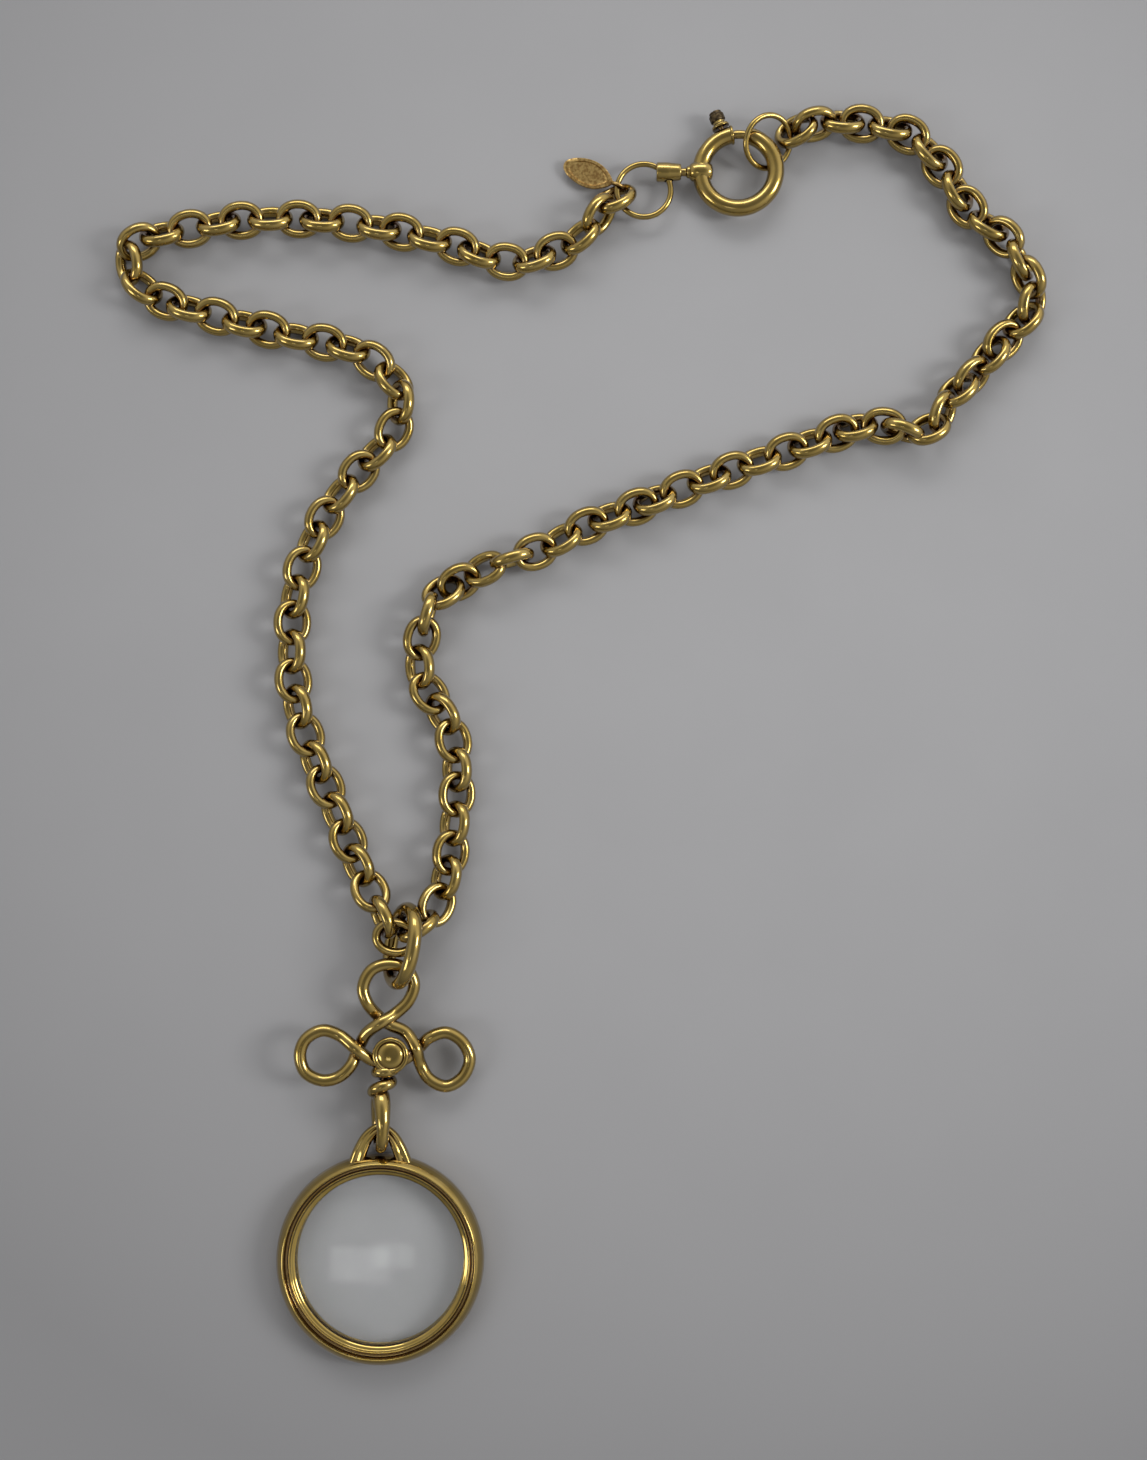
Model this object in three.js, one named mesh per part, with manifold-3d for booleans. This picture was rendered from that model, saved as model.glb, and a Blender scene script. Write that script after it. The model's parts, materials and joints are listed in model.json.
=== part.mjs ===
// A chain strap for eyewear, laid out on a table: an oval cable chain closed by a spring ring
// clasp, with a wire trefoil and a magnifier hanging from it.
// Lengths are in millimetres. +Z is up, +Y runs from the magnifier to the clasp.
import * as THREE from "three";
import { mergeVertices } from "three/addons/utils/BufferGeometryUtils.js";
import Module from "manifold-3d";

const wasm = await Module();
wasm.setup();

// Chain
const linkWire = 2;
const linkDepth = 2.5; // the wire is oval, deeper across the link's plane
const linkLength = 10.15;
const linkWidth = 8.3;
const lastLift = 0.2; // the last link of each strand stands on its edge, sloping
const solderBite = 0.12; // how far two wires sink into each other where links are stuck together
const hookGaps = { close: 0.6, low: 0.5, middle: 0.87, wide: 1.15, slack: 1.65 }; // play at a joint
const bunchClearance = 0.3; // between every second link where the chain lies bunched up
const linkInner = linkLength - 2 * linkWire;
const linkRise = (linkWidth - linkWire) / 2;
const bunchGap = 2 * linkInner + solderBite - linkLength - bunchClearance;
const cornerGap = bunchGap - 0.8; // where the bunched chain bends sharply
const linkSegments = 8;
const linkSides = 5;

// The chain's course, drawn by eye over a picture of it from above. The picture's scale follows
// the links, so the course grows with them.
const pictureCentre = { across: 573.5, down: 730 };
const pictureFocus = 1762;
const pictureTilt = THREE.MathUtils.degToRad(3);
const viewHeightShare = 61.26;
const viewHeight = viewHeightShare * linkInner;
const leftCourse = [
  [390, 929], [382, 911], [369, 886], [356, 859], [346, 832], [324, 780], [303, 725], [294, 680],
  [293, 650], [294, 610], [300, 578], [309, 553], [333, 506], [372, 459], [393, 438], [403, 412],
  [401, 388], [386, 370], [366, 355], [343, 347], [317, 342], [262, 329], [209, 315], [158, 299],
  [138, 283], [128, 262], [132, 245], [150, 237], [172, 234], [200, 229], [249, 223], [305, 224],
  [363, 231], [419, 244], [474, 261], [496, 271], [521, 276], [546, 268], [570, 261], [588, 252],
  [600, 231], [613, 218], [630, 207],
];
const rightCourse = [
  [407, 932], [422, 925], [437, 906], [444, 880], [450, 850], [456, 791], [453, 740], [441, 711],
  [423, 688], [416, 664], [421, 636], [428, 612], [432, 598], [446, 588], [467, 576], [490, 566],
  [515, 557], [536, 553], [558, 541], [581, 527], [634, 507], [685, 487], [739, 467], [789, 450],
  [838, 432], [860, 425], [880, 424], [902, 432], [924, 437], [936, 425], [941, 408], [951, 394],
  [972, 376], [1001, 340], [1018, 325], [1031, 308], [1032, 291], [1020, 278], [1018, 262],
  [1002, 242], [982, 227], [962, 218], [950, 197], [938, 178], [922, 162], [906, 146], [888, 138],
  [864, 135], [840, 133], [814, 134], [790, 141], [780, 146],
];
// From each row's link on, links lean by the two angles in turn. Positive raises the side on the
// right hand of someone who follows the chain outward from its lowest link.
const leftLeans = [
  { from: 1, turns: [66, -22] }, { from: 3, turns: [45, -22] }, { from: 21, turns: [50, -42] },
  { from: 23, turns: [22, -45] }, { from: 33, turns: [45, -45] }, { from: 35, turns: [45, -22] },
  { from: 51, turns: [44, -60] },
];
const rightLeans = [
  { from: 1, turns: [66, -22] }, { from: 3, turns: [45, -22] }, { from: 13, turns: [90, 30] },
  { from: 15, turns: [-30, 30] }, { from: 17, turns: [90, -22] }, { from: 19, turns: [45, -22] },
  { from: 33, turns: [-86, 38] }, { from: 35, turns: [-54, 45] }, { from: 37, turns: [-45, 45] },
  { from: 39, turns: [-22, 45] }, { from: 41, turns: [-45, 60] }, { from: 43, turns: [-60, 45] },
  { from: 45, turns: [-45, 22] }, { from: 54, turns: [52, -33] },
];
// How many links each solid holds, how many such solids follow each other, the play after each.
const leftRuns = [
  { links: 3, times: 6, gap: hookGaps.low }, { links: 3, times: 4, gap: hookGaps.middle },
  { links: 4, times: 1, gap: hookGaps.middle }, { links: 3, times: 5, gap: hookGaps.wide },
  { links: 3, times: 1, gap: hookGaps.middle }, { links: 1, times: 1, gap: hookGaps.slack },
];
const rightRuns = [
  { links: 3, times: 4, gap: hookGaps.middle }, { links: 2, times: 1, gap: bunchGap },
  { links: 3, times: 2, gap: hookGaps.middle }, { links: 2, times: 1, gap: bunchGap },
  { links: 3, times: 2, gap: hookGaps.middle }, { links: 2, times: 2, gap: bunchGap },
  { links: 2, times: 1, gap: cornerGap }, { links: 2, times: 10, gap: bunchGap },
  { links: 1, times: 1, gap: hookGaps.close },
];

// Counts of the joints where the closed chain bends, outward from its lowest link
const bendCounts = {
  leftSway: 15, leftSwing: 27, leftSwayEnd: 30, rightSwing: 17, rightSwingEnd: 32, rightSway: 38,
  rightOpen: 52,
};
const waistCounts = { from: 18, to: 24 };
const cornerCounts = { from: 38, to: 44 };
const closingCounts = { left: 30, right: 40 };

// Lowest link and bail, the big plain ring that carries the pendant
const bottomRise = 6.2;
const secondRise = 5.2; // of the joints next to the lowest link's own
const bottomTurn = THREE.MathUtils.degToRad(-8);
const bailWire = 3;
const bailLength = 18.7;
const bailHeight = 15;
const bailLean = THREE.MathUtils.degToRad(28);
const bailTurn = THREE.MathUtils.degToRad(-10);
const bailAside = 1.5; // from the middle of the lowest link, along +X
const bailBelow = 1.2; // from the middle of the lowest link, along -Y

// Trefoil
const trefoilWire = 2.7;
const trefoilWidth = 35.5; // over the middle of the wire
const trefoilRise = 4.4; // at the neck
const trefoilPitch = THREE.MathUtils.degToRad(3.4); // its top loop is lifted
const trefoilRoll = THREE.MathUtils.degToRad(5); // its left side is lifted
const trefoilPlay = 1; // from its top loop to the bail's end
const trefoilAside = 1.8; // its top loop's middle, from the bail's end
const crossingBite = 0.3;
// Across and up from the neck in shares of the width, and -1 under, 1 over at a crossing.
const trefoilShares = [
  [[0, 0.15, 0], [0.065, 0.155, 0], [0.13, 0.185, 0], [0.19, 0.235, -1], [0.25, 0.295, 0],
    [0.35, 0.325, 0], [0.445, 0.27, 0], [0.49, 0.165, 0]],
  [[0.49, 0.165, 0], [0.445, 0.055, 0], [0.35, 0.005, 0], [0.25, 0.05, 0], [0.195, 0.145, 0],
    [0.175, 0.235, 1], [0.11, 0.33, 0], [0.01, 0.38, 0], [-0.055, 0.425, -1], [-0.115, 0.505, 0],
    [-0.14, 0.6, 0], [-0.09, 0.7, 0], [0.01, 0.735, 0]],
  [[0.01, 0.735, 0], [0.115, 0.705, 0], [0.16, 0.615, 0], [0.13, 0.52, 0], [0.055, 0.445, 0],
    [-0.035, 0.39, 1], [-0.12, 0.325, 0], [-0.175, 0.225, -1], [-0.215, 0.13, 0],
    [-0.29, 0.065, 0], [-0.385, 0.05, 0], [-0.48, 0.1, 0], [-0.51, 0.205, 0]],
  [[-0.51, 0.205, 0], [-0.475, 0.295, 0], [-0.38, 0.345, 0], [-0.28, 0.315, 0],
    [-0.175, 0.235, 1], [-0.085, 0.165, 0], [-0.01, 0.15, 0]],
];
const trefoilTopShares = [0.01, 0.735];
const bossShares = [0.027, 0.2];
const bossWidth = 7.7;
const bossPlate = 1;
const bossCrown = 0.7;
const bossSeat = 0.3;

// Neck with its wrapped wire, and the eye loop that holds the magnifier
const neckWire = 2;
const neckShares = [0, 0.15]; // where the trefoil's ends meet above the wrap
const neckLength = 7;
const neckMargin = 0.35; // bare neck between the wrap and the eye loop
const neckLean = THREE.MathUtils.degToRad(-11);
const wrapWire = 1.3;
const wrapTurns = 1.25;
const wrapPitch = 1.85;
const wrapClearance = 0.3;
const eyeWire = 2.6;
const eyeLength = 13.4;
const eyeHeight = 8.8;
const eyeLean = THREE.MathUtils.degToRad(8);

// Magnifier
const lensRadius = 18.6;
const lensLap = 0.8; // of the rim over the lens
const lipWidth = 0.9;
const slopeWidth = 1.5;
const bandWidth = 1.8; // from the rim's crest to its outside
const windowRadius = lensRadius - lensLap;
const slopeRadius = windowRadius + lipWidth;
const crestRadius = slopeRadius + slopeWidth;
const loupeRadius = crestRadius + bandWidth;
const loupeDepth = 5.6;
const rimRound = 0.8;
const slopeDepth = 1.5;
const rimLip = 0.4;
const seatDepth = 2.1; // from the crest down to the seat of the lens
const lensEdge = 1.75;
const lensBulge = 1.2;
const lensClearance = 0.3;
const retainerWidth = 1.2;
const lugWidth = 12.1;
const lugReach = 6.6;
const lugWire = 2.2;
const lugFoot = 3.1;
const lugRise = 4;
const lugPlay = 1.3; // slack of the eye loop in the lug
const lugShares = [
  [-0.38, -0.12], [-0.31, 0.25], [-0.2, 0.62], [0, 0.8625], [0.2, 0.62], [0.31, 0.25], [0.38, -0.12],
];
const loupeAside = 0.1;

// Clasp, a ring of tube with a sprung bolt
const claspRadius = 10;
const claspTube = 3.7;
const claspBore = 2.5;
const claspTilt = THREE.MathUtils.degToRad(-3.9);
const boltWire = 1.9;
const knobStem = 1.2;
const knobWidth = 3.4;
const knobStandoff = 1.6;
const knobHeight = 2.6;
const slotClearance = 0.4;
// Degrees round the clasp from the side away from its ball, and from one feature to the next
const mouth = 74;
const mouthSweep = 24;
const tipSweep = 3;
const slotSweeps = { before: 6, rest: 7, travel: 35 };
const tailSweep = 15;
const springSweep = 24;
const tubeEnd = mouth + mouthSweep;
const boltTip = mouth + tipSweep;
const slot = tubeEnd + slotSweeps.before;
const knob = slot + slotSweeps.rest;
const boltTail = knob + tailSweep;
const slotEnd = knob + slotSweeps.travel;
const boreEnd = slotEnd + springSweep;
const springWire = 0.35;
const springRadius = 0.75;
const springTurns = 5;
const springMargin = 3.5; // degrees between the spring and what it pushes on
const ballDiameter = 5.3;
const ballRise = 2.85;
const swivelNeck = 1.8;
const headDiameter = 2.8;
const headLength = 0.6;
const swivelClearance = 0.3;
const barrelDiameter = 4.2;
const barrelLength = 6.2;
const barrelWall = 0.7;
const barrelToBall = 6.6; // from the barrel's middle to the ball's
const barrelPin = 1.6; // from the jump ring's wire to the barrel's middle

// Jump ring, hang tag and end ring
const jumpWire = 1.3;
const jumpRadius = 5.85; // to the middle of the wire
const jumpHook = THREE.MathUtils.degToRad(196); // where the last link hooks it
const jumpPin = THREE.MathUtils.degToRad(44); // where the barrel sits on it
const endWire = 1.3;
const endRadius = 5.5;
const endTilt = THREE.MathUtils.degToRad(34);
const endRise = 3.98;
const endAcross = 6.5; // from the clasp's middle
const endUp = 6.3;
const endHighSide = THREE.MathUtils.degToRad(135);
const endHook = THREE.MathUtils.degToRad(5);
const tagHook = THREE.MathUtils.degToRad(152);
const tagTurn = THREE.MathUtils.degToRad(150);
const tagSlope = THREE.MathUtils.degToRad(-7);
const tagRoll = THREE.MathUtils.degToRad(-12);
const tagLength = 11.9;
const tagWidth = 5.9;
const tagThickness = 0.8;
const tagRim = 0.7;
const tagRimHeight = 0.3;
const tagLoopWire = 0.7;
const tagLoopClearance = 0.3;

const weld = 1e-5;

const up = new THREE.Vector3(0, 0, 1);

function vector(x, y, z = 0) {
  return new THREE.Vector3(x, y, z);
}

function polar(radius, angle) {
  return new THREE.Vector3(radius * Math.cos(angle), radius * Math.sin(angle), 0);
}

function mix(start, steps) {
  const sum = start.clone();
  for (const [direction, amount] of steps) {
    sum.addScaledVector(direction, amount);
  }
  return sum;
}

function geometryFrom(positions, triangles) {
  const geometry = new THREE.BufferGeometry();
  geometry.setAttribute("position", new THREE.Float32BufferAttribute(positions, 3));
  geometry.setIndex(triangles);
  return geometry;
}

function solidOf(geometry) {
  const plain = geometry.clone();
  plain.deleteAttribute("normal");
  plain.deleteAttribute("uv");
  const merged = mergeVertices(plain, weld);
  return new wasm.Manifold(new wasm.Mesh({
    numProp: 3,
    vertProperties: new Float32Array(merged.attributes.position.array),
    triVerts: new Uint32Array(merged.index.array),
  }));
}

function geometryOf(solid) {
  const mesh = solid.getMesh();
  return geometryFrom(Array.from(mesh.vertProperties), Array.from(mesh.triVerts));
}

function join(geometries) {
  const solids = geometries.map(solidOf);
  return geometryOf(solids.reduce((sum, solid) => sum.add(solid)));
}

function cut(geometry, ...cutters) {
  const solids = cutters.map(solidOf);
  return geometryOf(solids.reduce((rest, solid) => rest.subtract(solid), solidOf(geometry)));
}

// A round wire through stations, each with its middle, its radius and two directions across it.
function wire(stations, sides, closed = false) {
  const positions = [];
  const triangles = [];
  for (const { middle, across, over, radius } of stations) {
    for (let side = 0; side < sides; side += 1) {
      const angle = Math.PI * (1 + 2 * side / sides);
      const steps = [[across, radius * Math.cos(angle)], [over, radius * Math.sin(angle)]];
      positions.push(...mix(middle, steps).toArray());
    }
  }
  const rings = stations.length;
  const spans = closed ? rings : rings - 1;
  for (let ring = 0; ring < spans; ring += 1) {
    const here = ring * sides;
    const there = ((ring + 1) % rings) * sides;
    for (let side = 0; side < sides; side += 1) {
      const next = (side + 1) % sides;
      triangles.push(here + side, here + next, there + side);
      triangles.push(here + next, there + next, there + side);
    }
  }
  if (!closed) {
    const last = (rings - 1) * sides;
    for (let side = 1; side < sides - 1; side += 1) {
      triangles.push(0, side + 1, side, last, last + side, last + side + 1);
    }
  }
  return geometryFrom(positions, triangles);
}

// Stations along a free path, whose cross directions turn as little as they can.
function along(points, radii, start = up) {
  const stations = [];
  let across = start.clone();
  for (let step = 0; step < points.length; step += 1) {
    const before = points[Math.max(step - 1, 0)];
    const after = points[Math.min(step + 1, points.length - 1)];
    const ahead = after.clone().sub(before).normalize();
    across = mix(across, [[ahead, -across.dot(ahead)]]).normalize();
    const over = ahead.clone().cross(across);
    stations.push({ middle: points[step], across: across.clone(), over, radius: radii(step) });
  }
  return stations;
}

// Prints how near a coil comes to itself, measured on points along its wire
function reportCoil(name, points, thickness) {
  const curve = new THREE.CatmullRomCurve3(points);
  const fine = curve.getSpacedPoints(Math.ceil(4 * curve.getLength() / thickness));
  let least = Infinity;
  for (let one = 0; one < fine.length; one += 1) {
    for (let other = one + 14; other < fine.length; other += 1) {
      least = Math.min(least, fine[one].distanceTo(fine[other]));
    }
  }
  console.log(`${name}: ${(least - thickness).toFixed(2)} mm least gap to itself`);
}

// A closed oval of wire: two half circles of the given radius, moved apart by twice the run. The
// wire is as many times deeper than thick as the last value says.
function oval({ middle, length, width }, radius, run, thickness, segments, sides, deeper = 1) {
  const flat = width.clone().cross(length).normalize().multiplyScalar(deeper);
  const stations = [];
  for (let step = 0; step < segments; step += 1) {
    const angle = 2 * Math.PI * step / segments;
    const shift = run * Math.sign(Math.round(Math.cos(angle) * segments * segments));
    const across = mix(length.clone().multiplyScalar(Math.cos(angle)), [[width, Math.sin(angle)]]);
    const steps = [[across, radius], [length, shift]];
    stations.push({ middle: mix(middle, steps), across, over: flat, radius: thickness / 2 });
  }
  return wire(stations, sides, true);
}

function lathe(profile, segments) {
  const points = profile.map(([radius, height]) => new THREE.Vector2(radius, height));
  const geometry = new THREE.LatheGeometry(points, segments);
  geometry.rotateX(Math.PI / 2);
  return geometryOf(solidOf(geometry));
}

// Moves a shape made about the origin so that its X, Y and Z follow the given directions.
function place(geometry, middle, xAxis, yAxis) {
  const zAxis = xAxis.clone().cross(yAxis);
  const turn = new THREE.Matrix4().makeBasis(xAxis, yAxis, zAxis);
  return geometry.applyMatrix4(turn.setPosition(middle));
}

function onTable([across, down]) {
  const right = across - pictureCentre.across;
  const below = down - pictureCentre.down;
  const reach = viewHeight
    / (pictureFocus * Math.cos(pictureTilt) + below * Math.sin(pictureTilt));
  const away = -below * Math.cos(pictureTilt) + pictureFocus * Math.sin(pictureTilt);
  return vector(right * reach, away * reach);
}

function leansOf(rows, count) {
  const leans = [];
  for (let link = 1; link <= count; link += 1) {
    const row = rows.filter(({ from }) => from <= link).at(-1);
    leans.push(THREE.MathUtils.degToRad(row.turns[(link - row.from) % 2]));
  }
  return leans;
}

function gapsOf(runs) {
  const gaps = [hookGaps.close];
  for (const { links, times, gap } of runs) {
    for (let run = 0; run < times; run += 1) {
      gaps.push(...Array(links - 1).fill(-solderBite), gap);
    }
  }
  return gaps;
}

// The course's own curve as closely spaced points on the table.
function coursePoints(course) {
  const marks = course.map(onTable);
  const first = marks[0].clone().multiplyScalar(2).sub(marks[1]);
  const last = marks.at(-1).clone().multiplyScalar(2).sub(marks.at(-2));
  const padded = [first, ...marks, last];
  const fine = [];
  const stepsPerSpan = 24;
  for (let mark = 1; mark < padded.length - 2; mark += 1) {
    const [a, b, c, d] = padded.slice(mark - 1, mark + 3);
    for (let step = 0; step < stepsPerSpan; step += 1) {
      const t = step / stepsPerSpan;
      const point = b.clone().multiplyScalar(2);
      point.addScaledVector(c.clone().sub(a), t);
      const bend = a.clone().multiplyScalar(2).addScaledVector(b, -5).addScaledVector(c, 4).sub(d);
      point.addScaledVector(bend, t * t);
      const twist = b.clone().multiplyScalar(3).sub(a).addScaledVector(c, -3).add(d);
      point.addScaledVector(twist, t * t * t);
      fine.push(point.multiplyScalar(1 / 2));
    }
  }
  fine.push(marks.at(-1));
  return fine;
}

// Steps along the course from one joint between links to the next, and gives every link a frame.
function layStrand(course, leanRows, runs, endRise) {
  const gaps = gapsOf(runs);
  const count = gaps.length - 1;
  const leans = leansOf(leanRows, count);
  const needed = leans.map((lean) => (
    Math.hypot(linkWire * Math.sin(lean), linkDepth * Math.cos(lean)) / 2
      + linkRise * Math.abs(Math.sin(lean))
  ));
  const path = coursePoints(course);
  const riseAt = (joint) => Math.max(...needed.slice(Math.max(joint - 1, 0), joint + 1));
  const rises = [bottomRise, secondRise];
  for (let joint = 2; joint < count - 1; joint += 1) {
    rises.push(riseAt(joint));
  }
  rises.push(Math.max(riseAt(count - 1), 2 * needed.at(-1) - endRise) + lastLift, endRise);
  const joints = [path[0].clone().setZ(bottomRise)];
  let at = 0;
  for (let link = 0; link < count; link += 1) {
    const reach = linkInner - (gaps[link] + gaps[link + 1]) / 2;
    const from = joints[link];
    const rise = rises[link + 1];
    const step = Math.sqrt(reach ** 2 - (rise - from.z) ** 2);
    const ground = vector(from.x, from.y);
    while (at < path.length - 2 && path[at + 1].distanceTo(ground) < step) {
      at += 1;
    }
    const run = path[at + 1].clone().sub(path[at]);
    const offset = path[at].clone().sub(ground);
    const half = run.dot(offset);
    const rest = half ** 2 - run.dot(run) * (offset.dot(offset) - step ** 2);
    const share = (-half + Math.sqrt(Math.max(rest, 0))) / run.dot(run);
    joints.push(mix(path[at], [[run, share]]).setZ(rise));
  }
  const frames = leans.map((lean, link) => {
    const length = joints[link + 1].clone().sub(joints[link]).normalize();
    const side = vector(length.y, -length.x).normalize();
    const top = side.clone().cross(length);
    const width = side.multiplyScalar(Math.cos(lean)).addScaledVector(top, Math.sin(lean));
    const middle = mix(joints[link], [[length, (linkInner - gaps[link]) / 2]]);
    return { middle, length, width };
  });
  return { joints, frames, runs };
}

function moveStrand({ joints, frames, runs }, turn) {
  const spin = new THREE.Matrix4().extractRotation(turn);
  return {
    runs,
    joints: joints.map((joint) => joint.clone().applyMatrix4(turn)),
    frames: frames.map(({ middle, length, width }) => ({
      middle: middle.clone().applyMatrix4(turn),
      length: length.clone().applyMatrix4(spin),
      width: width.clone().applyMatrix4(spin),
    })),
  };
}

function slide(offset) {
  return new THREE.Matrix4().makeTranslation(offset.x, offset.y, offset.z);
}

function turnAbout(point, angle) {
  const turn = new THREE.Matrix4().makeRotationZ(angle);
  return slide(point).multiply(turn).multiply(slide(point.clone().negate()));
}

function link(frame) {
  const run = (linkLength - linkWidth) / 2;
  return oval(frame, linkRise, run, linkWire, linkSegments, linkSides, linkDepth / linkWire);
}

// Materials
function metal(name, color, roughness) {
  return new THREE.MeshStandardMaterial({ name, color, roughness, metalness: 1 });
}
const gold = metal("polished_gold_tone", 0xb59a3e, 0.22);
const tagGold = metal("antique_gold_tone", 0x8f6f3a, 0.42);
const steel = metal("spring_steel", 0x9a9a96, 0.35);
const glass = new THREE.MeshStandardMaterial({
  name: "clear_glass", color: 0xd8dadd, roughness: 0.05, metalness: 0,
});
glass.transparent = true;
glass.opacity = 0.4;

// The scene: every moving part is a group whose origin is its hinge
const necklace = new THREE.Group();
const root = new THREE.Group();
root.userData = { pivot: vector(0, 0) };
necklace.add(root);

function movingPart(name, parent, pivot, axis) {
  const group = new THREE.Group();
  group.name = name;
  group.userData = { pivot: pivot.clone(), axis: axis.clone().normalize() };
  group.position.copy(pivot).sub(parent.userData.pivot);
  parent.add(group);
  return group;
}

function addPiece(part, name, geometry, material) {
  geometry.computeVertexNormals();
  const mesh = new THREE.Mesh(geometry, material);
  mesh.name = name;
  mesh.position.copy(part.userData.pivot).negate();
  part.add(mesh);
}

// The two strands start at the ends of the lowest link
const bottomLength = polar(1, bottomTurn);
const bottomFrame = {
  middle: vector(0, 0, bottomRise), length: bottomLength, width: up.clone().cross(bottomLength),
};

function strandFrom(side, course, leans, runs, endRise) {
  const draft = layStrand(course, leans, runs, endRise);
  const ahead = draft.frames[0].length.clone().setZ(0).normalize();
  const arcMiddle = mix(bottomFrame.middle, [[bottomLength, side * (linkLength - linkWidth) / 2]]);
  const start = mix(arcMiddle, [[ahead, linkRise - (linkWire + hookGaps.close) / 2]]);
  return moveStrand(draft, slide(start.sub(draft.joints[0]).setZ(0)));
}
const leftLaid = strandFrom(-1, leftCourse, leftLeans, leftRuns, ballRise);
const endHookLift = endRadius * Math.sin(endTilt) * Math.cos(endHook - endHighSide);
const endHookRise = endRise + lastLift + endHookLift;
const rightLaid = strandFrom(1, rightCourse, rightLeans, rightRuns, endHookRise);

// Where the clasp and its rings lie at the end of the left strand
function hookPoint(strand, hookedWire) {
  const inward = (hookedWire + strand.runs.at(-1).gap) / 2;
  return mix(strand.joints.at(-1), [[strand.frames.at(-1).length, -inward]]);
}

function claspPlaces(strand) {
  const hook = hookPoint(strand, jumpWire);
  const jumpMiddle = hook.clone().sub(polar(jumpRadius, jumpHook)).setZ(ballRise);
  const pin = jumpMiddle.clone().add(polar(jumpRadius, jumpPin));
  const barrelMiddle = pin.clone().add(vector(barrelPin, 0));
  const ball = barrelMiddle.clone().add(vector(barrelToBall, 0));
  const claspArm = claspRadius - claspTube / 2;
  const claspAhead = vector(Math.cos(claspTilt), 0, -Math.sin(claspTilt));
  const claspMiddle = mix(ball, [[claspAhead, claspArm]]);
  const endMiddle = claspMiddle.clone().add(vector(endAcross, endUp));
  endMiddle.setZ(endRise);
  const endLevel = polar(1, endHighSide + Math.PI / 2);
  const endSlope = polar(Math.cos(endTilt), endHighSide).setZ(Math.sin(endTilt));
  const turn = endHook - endHighSide;
  const endSteps = [[endSlope, endRadius * Math.cos(turn)], [endLevel, endRadius * Math.sin(turn)]];
  const endPoint = mix(endMiddle, endSteps);
  return { jumpMiddle, pin, barrelMiddle, ball, claspAhead, claspMiddle, endMiddle, endSlope,
    endLevel, endPoint };
}

// The upper ends of both strands turn a little until the last right link meets the end ring
function bendStrand(strand, joint, angle) {
  const turned = moveStrand(strand, turnAbout(strand.joints[joint], angle));
  return {
    runs: strand.runs,
    joints: [...strand.joints.slice(0, joint), ...turned.joints.slice(joint)],
    frames: [...strand.frames.slice(0, joint), ...turned.frames.slice(joint)],
  };
}

function closeLoop() {
  const leftPivot = leftLaid.joints[closingCounts.left];
  const rightPivot = rightLaid.joints[closingCounts.right];
  const target = claspPlaces(leftLaid).endPoint.sub(leftPivot).setZ(0);
  const tip = hookPoint(rightLaid, endWire).sub(rightPivot).setZ(0);
  const base = rightPivot.clone().sub(leftPivot).setZ(0);
  const apart = base.length();
  const foot = (target.lengthSq() - tip.lengthSq() + apart ** 2) / (2 * apart);
  const height = Math.sqrt(target.lengthSq() - foot ** 2);
  const ahead = base.clone().normalize();
  const meeting = mix(vector(0, 0), [[ahead, foot], [up.clone().cross(ahead), height]]);
  const fromRight = meeting.clone().sub(base);
  const angle = (to, from) => Math.atan2(to.y, to.x) - Math.atan2(from.y, from.x);
  return [
    bendStrand(leftLaid, closingCounts.left, angle(meeting, target)),
    bendStrand(rightLaid, closingCounts.right, angle(fromRight, tip)),
  ];
}
const [leftStrand, rightStrand] = closeLoop();
const leftEnd = leftStrand.joints.length - 1;

// Stretches of the chain that turn on each other
const leftJoint = (joint) => leftStrand.joints[joint];
const rightJoint = (joint) => rightStrand.joints[joint];
const bending = (name, parent, joint) => movingPart(name, parent, joint, up);
const leftLower = bending("left_lower_chain", root, leftJoint(bendCounts.leftSway));
const leftElbow = bending("left_elbow_chain", leftLower, leftJoint(bendCounts.leftSwing));
const leftUpper = bending("left_upper_chain", leftElbow, leftJoint(bendCounts.leftSwayEnd));
const clasped = bending("clasp_end", leftUpper, leftJoint(leftEnd));
const rightLower = bending("right_lower_chain", root, rightJoint(bendCounts.rightSwing));
const rightMiddle = bending("right_middle_chain", rightLower, rightJoint(bendCounts.rightSwingEnd));
const rightUpper = bending("right_upper_chain", rightMiddle, rightJoint(bendCounts.rightSway));

// A stretch that bulges outward between two joints can lift about the line through both
function liftedStretch(name, parent, from, to) {
  return movingPart(name, parent, from, from.clone().sub(to).setZ(0));
}
const waistBight = liftedStretch(
  "waist_chain", leftLower, leftJoint(waistCounts.from), leftJoint(waistCounts.to),
);
const cornerBight = liftedStretch(
  "corner_chain", rightUpper, rightJoint(cornerCounts.from), rightJoint(cornerCounts.to),
);

// The solids of a strand in order, each hung on the stretch that holds its first link
function hangStrand(strand, side, stretches) {
  let first = 0;
  let count = 0;
  for (const { links, times } of strand.runs) {
    for (let run = 0; run < times; run += 1) {
      const start = first;
      const row = stretches.filter(({ from }) => from <= start).at(-1);
      count += 1;
      const name = `${side}_chain_${String(count).padStart(2, "0")}`;
      addPiece(row.part, name, join(strand.frames.slice(first, first + links).map(link)), gold);
      first += links;
    }
  }
}
hangStrand(leftStrand, "left", [
  { from: 0, part: root }, { from: bendCounts.leftSway, part: leftLower },
  { from: waistCounts.from, part: waistBight }, { from: waistCounts.to, part: leftLower },
  { from: bendCounts.leftSwing, part: leftElbow }, { from: bendCounts.leftSwayEnd, part: leftUpper },
]);
hangStrand(rightStrand, "right", [
  { from: 0, part: root }, { from: bendCounts.rightSwing, part: rightLower },
  { from: bendCounts.rightSwingEnd, part: rightMiddle },
  { from: bendCounts.rightSway, part: rightUpper }, { from: cornerCounts.from, part: cornerBight },
  { from: cornerCounts.to, part: rightUpper }, { from: bendCounts.rightOpen, part: clasped },
]);
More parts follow.
